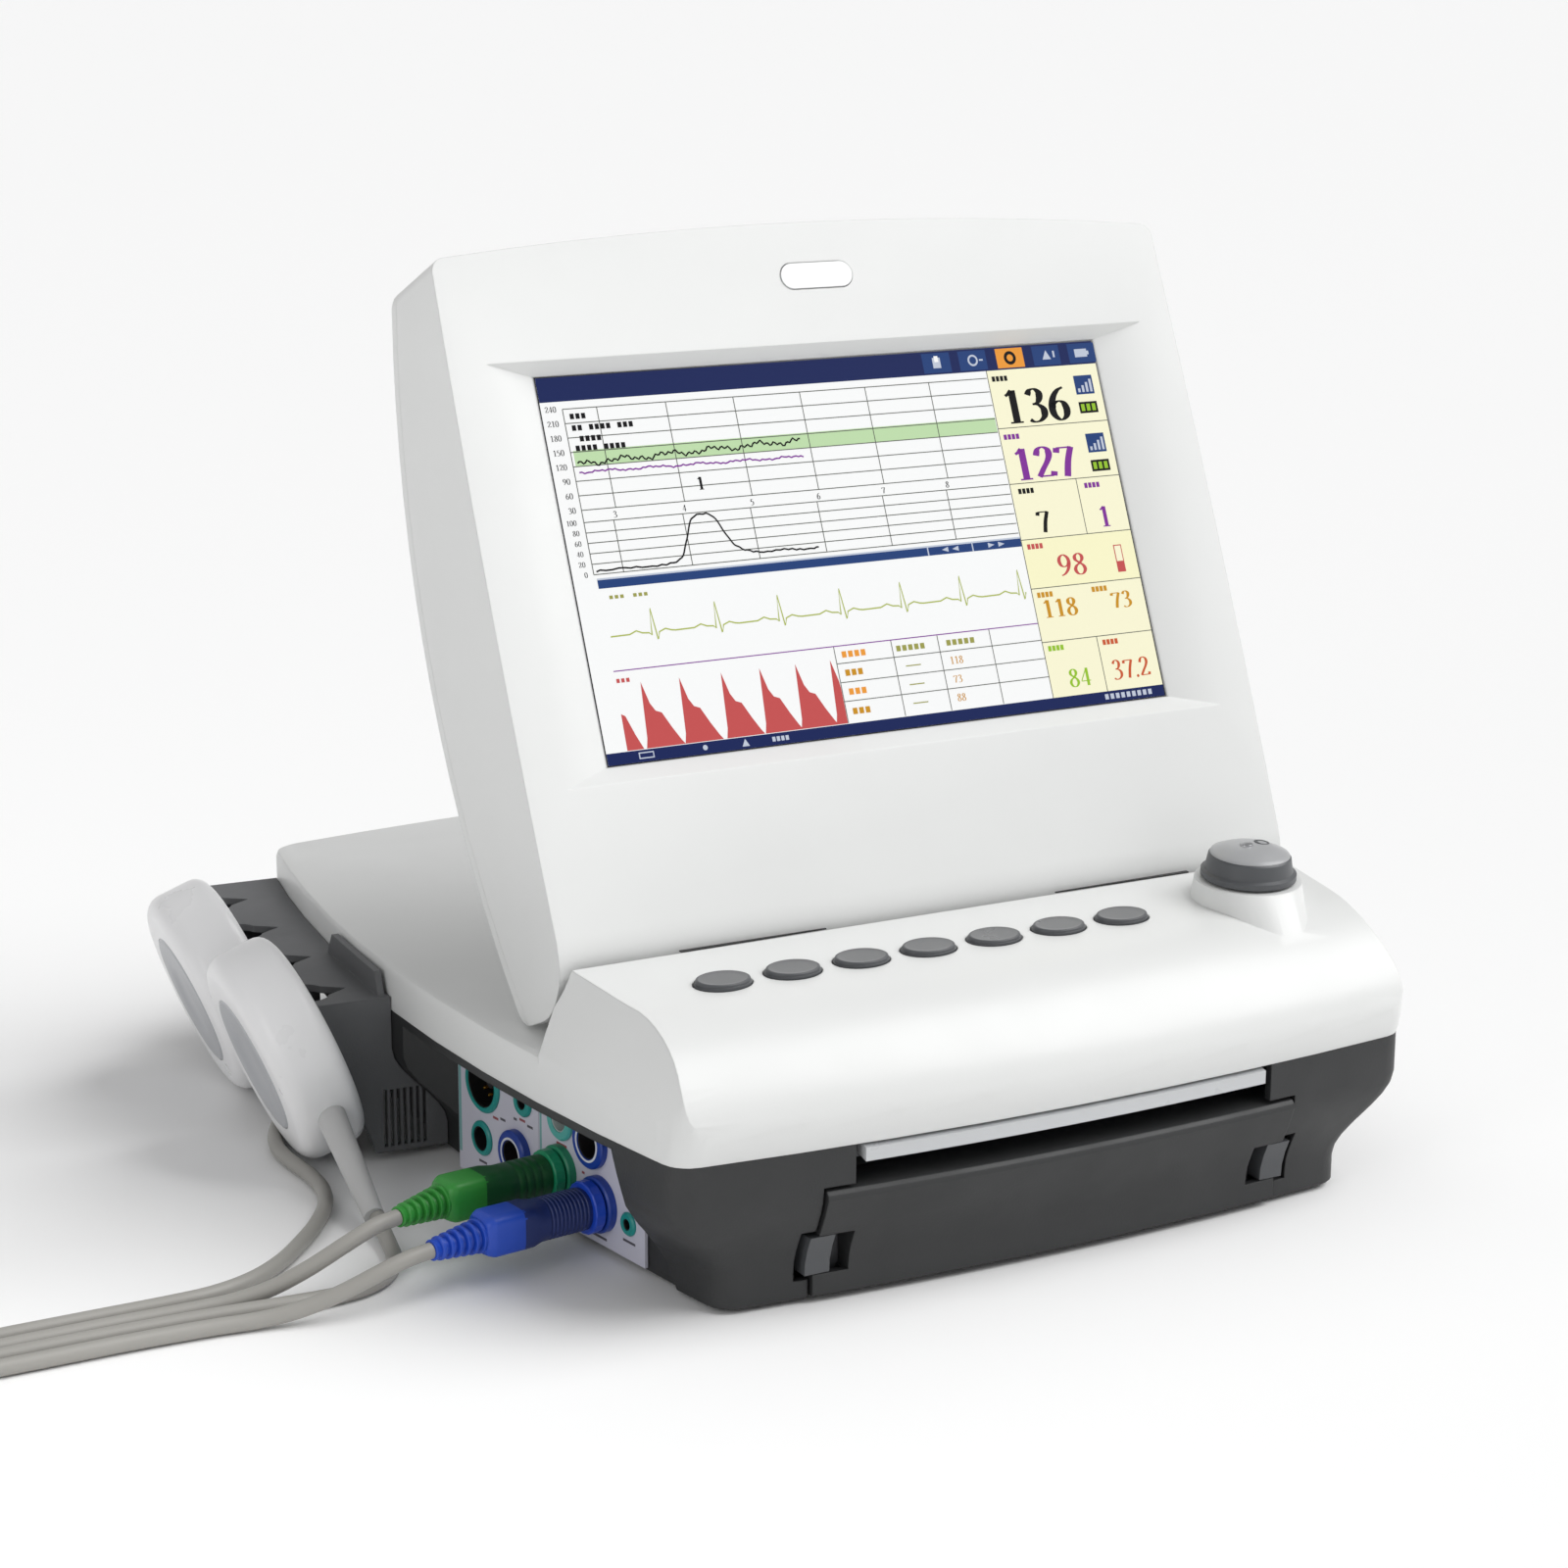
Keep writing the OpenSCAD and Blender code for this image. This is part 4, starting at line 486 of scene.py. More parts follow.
def lead(name, path, body, replaced):
    curve = bpy.data.curves.new(name, "CURVE")
    curve.dimensions = "3D"
    curve.bevel_depth = LEAD_D / 2 * MM
    curve.bevel_resolution = 5
    curve.use_fill_caps = True
    spline = curve.splines.new("POLY")
    spline.points.add(len(path) - 1)
    for point, place in zip(spline.points, path):
        point.co = (*at(*place), 1)
    spline.use_smooth = True
    curve.materials.append(JACKET)
    piece = placed(name, curve)
    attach(piece, body)
    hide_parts(*replaced)
    return piece


# Half width, thickness and corner radius of a coil's strap, and its room beside the leads
TIE_HALF = 4.5
TIE_T = 0.16
TIE_ROUND = 2.6
TIE_ROOM = 0.5


def coil_tie(name, centre, bearing):
    """Thin strap round both layers of a coil."""
    across = Vector((math.cos(math.radians(bearing)), math.sin(math.radians(bearing)), 0))
    along = Vector((-across.y, across.x, 0))
    inner = COIL_R - COIL_PITCH * COIL_TURNS - LEAD_D / 2 - TIE_ROOM
    outer = COIL_R + LEAD_D / 2 + TIE_ROOM
    low, high = 0.03, LEAD_REST + COIL_PITCH + LEAD_D / 2 + 0.3
    middle_r = (inner + outer) / 2
    middle_z = (low + high) / 2
    loop = []
    for r, z, turn in ((outer, low, -90), (outer, high, 0), (inner, high, 90), (inner, low, 180)):
        cr = r + math.copysign(TIE_ROUND, middle_r - r)
        cz = z + math.copysign(TIE_ROUND, middle_z - z)
        for step in range(5):
            a = math.radians(turn + 22.5 * step)
            loop.append((cr + TIE_ROUND * math.cos(a), cz + TIE_ROUND * math.sin(a)))
    points = []
    for side in (-TIE_HALF, TIE_HALF):
        for inset in (0, TIE_T):
            for r, z in loop:
                step_r = math.copysign(inset, middle_r - r)
                step_z = math.copysign(inset, middle_z - z)
                place = Vector((*centre, 0)) + across * (r + step_r) + along * side
                points.append(at(place.x, place.y, z + step_z))
    count = len(loop)
    faces = []
    for i in range(count):
        j = (i + 1) % count
        faces.append((i, j, 2 * count + j, 2 * count + i))
        faces.append((count + j, count + i, 3 * count + i, 3 * count + j))
        faces.append((j, i, count + i, count + j))
        faces.append((2 * count + i, 2 * count + j, 3 * count + j, 3 * count + i))
    return mesh_piece(name, points, faces, RUBBER, "cabinet", "foot_rubber")


def lens_shape(width, height, power, around):
    """Outline of a rounded square: power 2 is an ellipse, larger is squarer."""
    outline = []
    for i in range(around):
        a = 2 * math.pi * i / around
        c, s = math.cos(a), math.sin(a)
        outline.append((math.copysign(abs(c) ** (2 / power), c) * width,
                        math.copysign(abs(s) ** (2 / power), s) * height))
    return outline


# Grooves of a plug's body: count, first, step, half width at their floor, end of the floor and end
WIDE_GROOVES = (4, 8, 3, 6.8, 0.8, 1.1)
FINE_GROOVES = (10, 6, 1.5, 6.75, 0.7, 1)
# Place along a plug where its second colour starts
PLUG_SPLIT = 30


def plug(name, socket, flex, body_material, end_material, collar_material, slot_name, grooves):
    """Moulded plug: nose in the socket, knurled collar, grooved body that turns square, and ribbed boot."""
    along, height, outer, bore, stand, depth = SOCKETS[socket]
    matrix = bay_matrix(along, height)
    z0 = PANEL_T + stand
    last = z0 + PLUG_L
    around = 64
    collar = [(bore - 0.3, -depth + 5), (bore - 0.3, z0 + 0.5), (outer - 1.2, z0 + 0.5),
              (outer - 0.8, z0 + 0.9), (outer - 0.8, z0 + 4.1), (outer - 1.2, z0 + 4.5), (5, z0 + 4.5)]
    points = []
    for radius, z in collar:
        for i in range(around):
            a = 2 * math.pi * i / around
            reach = radius + (0.12 * math.cos(16 * a) if radius > outer - 1 else 0)
            points.append(matrix @ Vector((reach * math.cos(a), reach * math.sin(a), z)))
    collar_part = (points, ring_faces(len(collar), around))
    stations = [(z0 + 4, 6.2, 2.2), (z0 + 4.6, 6.9, 2.2)]
    count, first, step, floor_half, floor_end, end = grooves
    for k in range(count):
        for move, half in ((0, 7), (0.3, floor_half), (floor_end, floor_half), (end, 7)):
            stations.append((z0 + first + step * k + move, half, 2.3))
    stations += [(z0 + 22.5, 6.95, 2.4), (z0 + 24.5, 6.95, 3.2), (z0 + 26.5, 7, 4.6), (z0 + 29.6, 7, 4.9),
                 (z0 + 30.4, 7, 4.9), (last - 3.4, 7, 5), (last - 2.6, 6.9, 5), (last - 1.5, 6.5, 4.6),
                 (last - 0.4, 5.9, 4.2), (last, 5.4, 3.6)]
    points = []
    for z, half, power in stations:
        for x, y in lens_shape(half, half, power, around):
            points.append(matrix @ Vector((x, y, z)))
    body_part = (points, ring_faces(len(stations), around))
    place = matrix @ Matrix.Translation((0, 0, last - 2)) @ Matrix.Rotation(math.radians(flex), 4, "Y")
    profile = [(3.2, 0), (5, 0.2)]
    for k in range(6):
        t = (k + 0.8) / 6
        z = t * (BOOT_L - 2)
        rib = 6 - 2.1 * t
        root = max(3.05, rib - 1.5)
        profile += [(root, z - 0.3), (rib - 0.2, z - 0.1), (rib, z + 0.15), (rib, z + 0.95),
                    (rib - 0.2, z + 1.2), (root, z + 1.4)]
    profile += [(3.5, BOOT_L + 0.6), (3.2, BOOT_L + 1), (2.75, BOOT_L + 1)]
    boot_part = turned(profile, place, 40)
    pieces = [
        mesh_piece(name + "_collar", *collar_part, collar_material, "cabinet", slot_name),
        mesh_piece(name + "_body", *body_part, [body_material, end_material], "cabinet", slot_name),
        mesh_piece(name + "_boot", *boot_part, end_material, "cabinet", slot_name),
    ]
    split = matrix @ Vector((0, 0, z0 + PLUG_SPLIT))
    outwards = (matrix.to_3x3() @ Vector((0, 0, 1))).normalized()
    for face in pieces[1].data.polygons:
        face.material_index = int((face.center - split).dot(outwards) > 0)
    return pieces


green_plug = plug("green_plug", "green", GREEN_FLEX, PLUG_GREEN, PLUG_GREEN_END, PLUG_TEAL,
                  "plug_green_body", WIDE_GROOVES)
blue_plug = plug("blue_plug", "blue", BLUE_FLEX, PLUG_BLUE, PLUG_BLUE_END, PLUG_BLUE_COLLAR,
                 "plug_blue_body", FINE_GROOVES)
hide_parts("plug_green")
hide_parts("plug_blue")

toco_path = smooth_path(GREEN_RUN, 6) + coil(COIL_A, -90, -1)[1:] + smooth_path(GREEN_TAIL, 6)[1:]
sound_path = smooth_path(BLUE_RUN, 6) + coil(COIL_B, 90, 1)[-2::-1] + smooth_path(BLUE_TAIL, 6)[1:]
toco_lead = lead("toco_lead", toco_path, "cabinet", ("lead_green_run", "lead_green_coil", "lead_green_tail"))
sound_lead = lead("ultrasound_lead", sound_path, "cabinet",
                  ("lead_blue_run", "lead_blue_coil", "lead_blue_tail"))
toco_tie = coil_tie("toco_lead_tie", COIL_A, 215)
sound_tie = coil_tie("ultrasound_lead_tie", COIL_B, 250)


# Display picture

HINGE = Vector((0, -76.8, 98.4))
TILT = math.radians(23.8)
GLASS_Y = -18.4
DISPLAY_W = 222.0
DISPLAY_H = 132.5
DISPLAY_Z = 53.5


def screen_point(x, y, z):
    """A place on the screen, about the hinge axis with the screen upright, in the shared frame."""
    return at(x, HINGE.y + y * math.cos(TILT) + z * math.sin(TILT),
              HINGE.z - y * math.sin(TILT) + z * math.cos(TILT))


# Rim round the picture, edges of its bars and column of values, and the step between layers
RIM = 0.4
RIGHT = DISPLAY_W - RIM
LOWER_BAR = 4.4
UPPER_BAR = 123.7
VALUES = 175
LAYER = 0.035


def picture_material(name, colour):
    """Lit picture element behind a satin front: mostly its own light, with a fine grid of cells."""
    material, tree, shader = new_material(name)
    cells = locate(tree, add(tree, "ShaderNodeTexWave", {"Scale": 1600}, bands_direction="X"))
    for part, socket in ((0.2, "Base Color"), (0.95, "Emission Color")):
        high = tuple(c * part for c in rgb(*colour))
        low = tuple(c * 0.97 for c in high)
        tree.links.new(shades(tree, cells.outputs["Fac"], low, high), shader.inputs[socket])
    fill(shader, {"Emission Strength": 0.8, "Roughness": 0.3, "Specular IOR Level": 0.06})
    return material


PICTURE_COLOURS = {
    "white": (252, 253, 253),
    "navy": (30, 42, 92),
    "steel_blue": (40, 68, 124),
    "ice": (196, 204, 220),
    "cream": (252, 249, 216),
    "yellow": (252, 249, 206),
    "black": (20, 20, 22),
    "grid": (92, 94, 88),
    "band": (194, 224, 176),
    "purple": (132, 54, 156),
    "lime": (152, 198, 52),
    "moss": (176, 188, 92),
    "red": (200, 86, 86),
    "orange": (240, 158, 62),
    "amber": (206, 148, 40),
    "rust": (206, 92, 56),
    "olive": (160, 160, 84),
}

# Centre lines of the figures as x,y in a box a hundred high
FIGURES = {
    "0": ["29,100 13,87 7,50 13,13 29,0 45,13 51,50 45,87"],
    "1": ["12,84 22,90 31,99", "32,100 32,3", "14,2 50,2"],
    "2": ["8,74 15,93 29,100 43,92 46,74 38,54 22,30 7,6", "7,7 50,7", "50,6 53,20"],
    "3": ["10,82 18,96 31,99 42,88 42,72 34,58 20,53", "20,53 36,50 48,36 47,16 33,2 17,0 6,7"],
    "4": ["38,98 4,30", "3,27 55,27", "39,100 39,0"],
    "5": ["48,94 16,94", "17,96 12,54", "12,54 28,62 44,52 48,30 40,8 22,0 6,8"],
    "6": ["48,98 32,90 17,70 9,42 12,16 28,0 44,10 49,30 43,50 30,57 16,50 10,38"],
    "7": ["5,78 8,93", "7,93 52,93", "51,94 36,50 26,0"],
    "8": ["29,100 15,90 14,72 28,57 44,42 49,22 40,5 28,0 15,6 8,24 15,42 30,54 43,72 42,90"],
    "9": ["10,2 26,10 41,30 49,58 46,84 30,100 14,90 9,70 15,50 28,43 42,50 48,62"],
}


def figure_path(digit, stroke):
    """Points of one stroke, curved where it has more than two, in a box one high."""
    places = [pair.split(",") for pair in stroke.split()]
    points = [Vector((int(x) / 100, int(y) / 100, 0)) for x, y in places]
    if len(points) == 2:
        return points
    if digit in "08":
        return smooth_path(points[-2:] + points + points[:2], 5)[10:-5]
    return smooth_path(points, 5)


class Picture:
    """Collects flat shapes on the display; each layer lies a little in front of the one below."""

    def __init__(self):
        self.points = []
        self.faces = []
        self.colours = []
        self.names = list(PICTURE_COLOURS)

    def shape(self, outline, colour, layer):
        first = len(self.points)
        depth = GLASS_Y - 0.03 - LAYER * layer
        for u, v in outline:
            self.points.append(screen_point(u - DISPLAY_W / 2, depth, DISPLAY_Z + v))
        self.faces.append(tuple(range(first, first + len(outline))))
        self.colours.append(self.names.index(colour))

    def bar(self, u0, v0, u1, v1, colour, layer):
        self.shape([(u0, v0), (u1, v0), (u1, v1), (u0, v1)], colour, layer)

    def blocks(self, count, u, v, step, wide, high, colour, layer):
        """Row of equal bars, the first with its lower left corner at u, v."""
        for k in range(count):
            self.bar(u + step * k, v, u + step * k + wide, v + high, colour, layer)

    def ribbon(self, left, right, colour, layer):
        for i in range(len(left) - 1):
            self.shape([right[i], right[i + 1], left[i + 1], left[i]], colour, layer)

    def line(self, places, width, colour, layer):
        """Ribbon along places, mitred where it turns."""
        left, right = [], []
        for i, (u, v) in enumerate(places):
            a = places[max(i - 1, 0)]
            b = places[min(i + 1, len(places) - 1)]
            du, dv = b[0] - a[0], b[1] - a[1]
            size = math.hypot(du, dv) or 1
            nu, nv = -dv / size * width / 2, du / size * width / 2
            left.append((u + nu, v + nv))
            right.append((u - nu, v - nv))
        self.ribbon(left, right, colour, layer)

    def disc(self, u, v, radius, colour, layer, inner=0.0, around=28):
        for i in range(around):
            a = 2 * math.pi * i / around
            b = 2 * math.pi * (i + 1) / around
            outer = [(u + radius * math.cos(t), v + radius * math.sin(t)) for t in (a, b)]
            if inner:
                near = [(u + inner * math.cos(t), v + inner * math.sin(t)) for t in (b, a)]
            else:
                near = [(u, v)]
            self.shape(outer + near, colour, layer)

    def number(self, digits, u, v, height, colour, layer, thick=0.15, wide=1.1):
        """Plain figures with thick uprights and thin ends, with their lower left corner at u, v."""
        thin = 0.05
        for digit in digits:
            if digit == ".":
                self.disc(u + 0.1 * height, v + 0.06 * height, 0.08 * height, colour, layer, around=12)
                u += 0.24 * height * wide
                continue
            for order, stroke in enumerate(FIGURES[digit]):
                path = figure_path(digit, stroke)
                slender = digit == "4" and order == 0
                left, right = [], []
                for i, point in enumerate(path):
                    way = (path[min(i + 1, len(path) - 1)] - path[max(i - 1, 0)]).normalized()
                    width = thin + (0 if slender else (thick - thin) * way.y * way.y)
                    for side, half in ((left, width / 2), (right, -width / 2)):
                        side.append((u + (point.x - way.y * half) * height * wide,
                                     v + (point.y + way.x * half) * height))
                self.ribbon(left, right, colour, layer)
            u += 0.64 * height * wide

    def build(self, name):
        materials = [picture_material("picture_" + n, PICTURE_COLOURS[n]) for n in self.names]
        piece = mesh_piece(name, self.points, self.faces, materials, "screen", "display_glass", False, False)
        piece.data.polygons.foreach_set("material_index", self.colours)
        return piece


def wave(u0, u1, steps, low, swing, seed):
    """Wandering trace: a few sines of unrelated length added together."""
    places = []
    for i in range(steps + 1):
        t = i / steps
        swell = math.sin(seed + 31 * t) * 0.5 + math.sin(seed * 2 + 83 * t) * 0.3
        ripple = math.sin(seed * 3 + 211 * t) * 0.4
        places.append((u0 + (u1 - u0) * t, low + swing * (swell + ripple)))
    return places


def draw_values(p):
    """Column of values at the right, with loudness and signal marks beside the two largest."""
    p.bar(VALUES, LOWER_BAR, RIGHT, UPPER_BAR, "cream", 1)
    for v in (102.4, 82.0, 61.6, 43.8, 24.4):
        p.bar(VALUES, v - 0.15, RIGHT, v + 0.15, "grid", 2)
    for u, v0, v1 in ((VALUES, LOWER_BAR, UPPER_BAR), (203.05, 61.6, 82.0), (197.95, LOWER_BAR, 24.4)):
        p.bar(u - 0.15, v0, u + 0.15, v1, "grid", 2)
    p.bar(175.2, 43.9, RIGHT, 61.5, "yellow", 1.5)
    for digits, u, v, height, colour, thick, wide in (
            ("136", 178.8, 103.9, 12.1, "black", 0.2, 1.24), ("127", 178.2, 83.1, 11.4, "purple", 0.2, 1.24),
            ("7", 183.4, 63.6, 8.0, "black", 0.18, 1.15), ("1", 209.4, 63.6, 7.4, "purple", 0.18, 1.15),
            ("98", 188.0, 47.3, 7.6, "red", 0.15, 1.3), ("118", 178.0, 33.0, 6.3, "amber", 0.18, 1.25),
            ("73", 207.4, 33.8, 5.8, "amber", 0.18, 1.2), ("84", 183.0, 7.4, 6.3, "lime", 0.15, 1.2),
            ("37.2", 201.6, 8.2, 6.9, "rust", 0.15, 1.1)):
        p.number(digits, u, v, height, colour, 3, thick, wide)
    for v in (106.2, 84.6):
        p.bar(210.8, v + 6.4, 218.6, v + 13.4, "steel_blue", 3)
        for i in range(4):
            p.bar(211.8 + 1.7 * i, v + 7.2, 212.8 + 1.7 * i, v + 8.6 + 1.1 * i, "ice", 4)
        p.bar(210.8, v - 0.6, 218.6, v + 3.6, "black", 3)
        p.blocks(3, 211.6, v + 0.2, 2.3, 1.5, 2.6, "lime", 4)
    p.bar(212.8, 46.6, 216.2, 56.6, "red", 3)
    p.bar(213.2, 50.6, 215.8, 56.2, "cream", 4)


def draw_buttons(p):
    """Buttons in the upper bar."""
    middles = [u + 5.7 for u in (149.6, 164.6, 180.2, 195.6, 210.8)]
    for index, u in enumerate(middles):
        p.bar(u - 5.7, 124.3, u + 5.7, 131.5, "orange" if index == 2 else "steel_blue", 2)
    first, second, third, fourth, fifth = middles
    p.bar(first - 1.6, 126.0, first + 1.6, 129.8, "ice", 3)
    p.bar(first - 0.8, 128.2, first + 0.8, 130.4, "white", 4)
    p.disc(second, 127.9, 2.1, "ice", 3, 1.4)
    p.bar(second + 2.6, 127.6, second + 4.2, 128.2, "ice", 3)
    p.disc(third, 127.9, 2.5, "black", 3, 1.3)
    p.shape([(fourth - 1.8, 126.4), (fourth + 1.8, 126.4), (fourth, 129.8)], "ice", 3)
    p.bar(fourth + 2.8, 127.0, fourth + 3.6, 129.4, "ice", 3)
    p.bar(fifth - 3.0, 126.4, fifth + 2.2, 129.4, "ice", 3)
    p.bar(fifth + 2.2, 127.2, fifth + 3.0, 128.6, "ice", 3)


def draw_trends(p):
    """Heart rates over their band and contractions below, with grids and scales."""
    left, right = 9.2, 174.6
    rate_low, rate_step, rate_high = 86.3, 4.96, 121
    tone_low, tone_step, tone_high = 64.3, 3.56, 82.1
    for i in range(8):
        v = rate_low + i * rate_step
        p.line([(left - 1, v), (right, v)], 0.32, "grid", 3)
    p.bar(left, 101.2, right, 106.6, "band", 2)
    for i in range(6):
        v = tone_low + i * tone_step
        p.line([(left - 1, v), (right, v)], 0.32, "grid", 3)
    for u in (20.8, 46.6, 72.4, 98.4, 124.4, 150.4):
        p.line([(u, rate_low), (u, rate_high)], 0.32, "grid", 3)
        p.line([(u - 1.6, tone_low), (u - 1.6, tone_high)], 0.32, "grid", 3)
    p.line([(left - 1, tone_low), (left - 1, rate_high)], 0.32, "grid", 3)
    for count, first, rise, v, step, height in (
            (8, 30, 30, rate_low - 0.9, rate_step, 2.0), (6, 0, 20, tone_low - 0.8, tone_step, 1.8)):
        for i in range(count):
            label = str(first + rise * i)
            p.number(label, (4.8, 3.4, 1.8)[len(label) - 1], v + i * step, height, "black", 4)
    for i in range(6):
        p.number(str(3 + i), 19.4 + 25.9 * i, 82.9, 2.2, "black", 4)
    p.number("1", 52.4, 89.8, 4.4, "black", 4, 0.2)
    p.line([(u, v + 0.022 * (u - left)) for u, v in wave(10, 95, 120, 102.2, 1.3, 1.7)], 0.62, "black", 5)
    p.line([(u, v - 0.01 * (u - left)) for u, v in wave(10, 95, 90, 99.2, 0.55, 4.1)], 0.55, "purple", 5)
    hump = [(9.3, 65.4), (20, 65.6), (30, 65.2), (38.2, 65.8), (41.6, 67.4), (44.2, 72.2), (46.4, 77.6),
            (49.0, 81.0), (54.6, 81.2), (57.4, 78.2), (60.2, 72.6), (62.8, 69.4), (66.4, 67.6), (72.6, 66.4),
            (80.6, 66.7), (88, 66.0), (94, 66.2)]
    fine = smooth_path([Vector((u, v, 0)) for u, v in hump], 5)
    p.line([(q.x, q.y + 0.22 * math.sin(1.9 * q.x)) for q in fine], 0.6, "black", 5)
    # Blue bar with two pairs of arrows
    p.bar(9.0, 59.4, 174.8, 62.9, "steel_blue", 3)
    p.bar(9.0, 62.3, 174.8, 62.9, "ice", 4)
    for u in (136.2, 154.4):
        p.bar(u, 59.4, u + 0.5, 62.9, "ice", 5)
    for u, way in ((143.4, -1), (147.6, -1), (162.4, 1), (166.6, 1)):
        p.shape([(u - 1.3 * way, 60.1), (u + 1.3 * way, 61.0), (u - 1.3 * way, 61.9)][::way], "ice", 5)


def draw_traces(p):
    """Heart trace, and the filled pulse wave under it."""
    beat = ((0, 0), (7, 0.1), (9.6, 1.1), (11.8, 0.2), (14.2, 0), (15.1, -0.9), (16.1, 8.2), (17.1, -2.5),
            (18, 0), (20.4, 0.9), (22.6, 0.2))
    trace = []
    for k in range(7):
        for du, dv in beat:
            u = 10 + 24.1 * k + du
            if u < 173.6:
                trace.append((u, 43.0 + dv))
    p.line(trace, 0.5, "moss", 4)
    p.blocks(3, 12.2, 55.6, 2, 1.3, 1.2, "olive", 4)
    p.blocks(3, 21, 55.6, 2, 1.3, 1.2, "olive", 4)
    p.line([(8.6, 31.4), (174.8, 31.4)], 0.36, "purple", 4)
    base = 4.6
    tooth = ((-2.2, 0), (-1.4, 3.4), (0, 22.4), (1.9, 14.9), (3.5, 12.2), (5.6, 11.4), (8.4, 6), (11, 1.6),
             (12.2, 0))
    for peak in (17.6, 31.9, 47.6, 62.2, 76.0, 89.6):
        p.shape([(min(peak + du, 91.8), base + dv) for du, dv in tooth][::-1], "red", 3)
    p.shape([(8.2, base), (14.4, base), (12.2, base + 5), (9.8, base + 11.6), (8.4, base + 12.4)], "red", 3)
    p.blocks(3, 9, 27.4, 1.8, 1.2, 1.4, "red", 4)


def draw_table(p):
    """Table of earlier values at the lower right."""
    for v in (25.3, 18.7, 12.1):
        p.line([(92, v), (174.8, v)], 0.3, "grid", 4)
    for u in (92, 114.6, 133.2, 154.4):
        p.line([(u, 4.6), (u, 31.2)], 0.3, "grid", 4)
    for row, v in enumerate((27.2, 20.8, 14.2, 7.4)):
        p.blocks(3 if row else 4, 94.6, v, 2.5, 1.8, 2.2, "amber" if row % 2 else "orange", 4)
    for row, label in enumerate(("118", "73", "88")):
        p.number(label, 136.4, 20.6 - 6.6 * row, 2.6, "amber", 4)
        p.bar(118.6, 21.6 - 6.6 * row, 124.6, 22.0 - 6.6 * row, "olive", 4)
    for u in (136.4, 116.2):
        p.blocks(5, u, 27.2, 2.4, 1.7, 2, "olive", 4)


def draw_marks(p):
    """Blocks in place of words: rows at the upper left, over the values and in the lower bar."""
    for v, count in ((117.4, 4), (113.4, 11), (109.6, 5), (106.4, 9)):
        for k in range(count):
            if (k + round(v)) % 5:
                p.bar(10.4 + 2.1 * k, v, 11.9 + 2.1 * k, v + 1.9, "black", 4)
    for u, v, colour in ((176.6, 119.6, "black"), (176.6, 98.2, "purple"), (178, 78.2, "black"),
                         (206, 78.2, "purple"), (177, 58, "red"), (177, 40.4, "amber"), (200, 40.4, "amber"),
                         (177, 21, "lime"), (200, 21, "rust")):
        p.blocks(4, u, v, 1.7, 1.3, 1.9, colour, 4)
    p.bar(12, 1.4, 17.6, 3.6, "ice", 3)
    p.bar(12.4, 1.8, 17.2, 3.2, "navy", 4)
    p.shape([(50.4, 1.2), (53.2, 1.2), (51.8, 3.8)], "ice", 3)
    p.disc(36.6, 2.5, 0.9, "ice", 3)
    p.blocks(4, 62, 1.6, 1.7, 1.2, 1.6, "ice", 3)
    p.blocks(9, 196.4, 1.5, 2.3, 1.5, 1.9, "ice", 3)


def draw_picture():
    """The whole picture: ground, bars along the upper and lower edges, and what lies on them."""
    p = Picture()
    top = DISPLAY_H - RIM
    p.bar(RIM, RIM, RIGHT, top, "white", 0)
    p.bar(RIM, UPPER_BAR, RIGHT, top, "navy", 1)
    p.bar(RIM, RIM, RIGHT, LOWER_BAR, "navy", 1)
    for draw in (draw_values, draw_buttons, draw_trends, draw_traces, draw_table, draw_marks):
        draw(p)
    p.build("display_picture")


draw_picture()


# Console details

FRONT_Y = -185.5
# Distances behind the front of the key row and of the slits at the console's rear edge
KEY_ROW = 52
SLIT_ROW = 83.7
CONSOLE_SLOPE = 3.676
KEY_HALF_X = 10
KEY_HALF_Y = 7


def console_matrix(x, behind):
    """Takes millimetres, X across, Y up the console and Z out of it, to metres in the shared frame."""
    y = FRONT_Y + behind
    place = Matrix.Translation(Vector((x, y, 96 + (y + 148.5) * 3 / 46.7)) + CABINET)
    return Matrix.Scale(MM, 4) @ place @ Matrix.Rotation(math.radians(CONSOLE_SLOPE), 4, "X")


def key_tops():
    """Dished cap inside each key's dark edge."""
    rings = ((0.94, -0.3), (0.94, 1.2), (0.925, 1.5), (0.89, 1.68), (0.845, 1.66), (0.78, 1.56), (0.6, 1.5),
             (0.35, 1.46), (0.1, 1.45))
    around = 56
    for key in range(7):
        matrix = console_matrix(-101 + 25.45 * key, KEY_ROW)
        points = []
        for scale, height in rings:
            for i in range(around):
                a = 2 * math.pi * i / around
                x, y = KEY_HALF_X * scale * math.cos(a), KEY_HALF_Y * scale * math.sin(a)
                points.append(matrix @ Vector((x, y, height)))
        number = key + 1
        piece = mesh_piece("key_top_%d" % number, points, ring_faces(len(rings), around), [KEY_TOP, CONTROL],
                           "key_%d" % number, "control_grey")
        middle = matrix @ Vector((0, 0, 1.5))
        across = (matrix.to_3x3() @ Vector((1, 0, 0))).normalized()
        upwards = (matrix.to_3x3() @ Vector((0, 1, 0))).normalized()
        for face in piece.data.polygons:
            offset = face.center - middle
            reach = math.hypot(offset.dot(across) / KEY_HALF_X, offset.dot(upwards) / KEY_HALF_Y) / MM
            face.material_index = int(reach > 0.86)


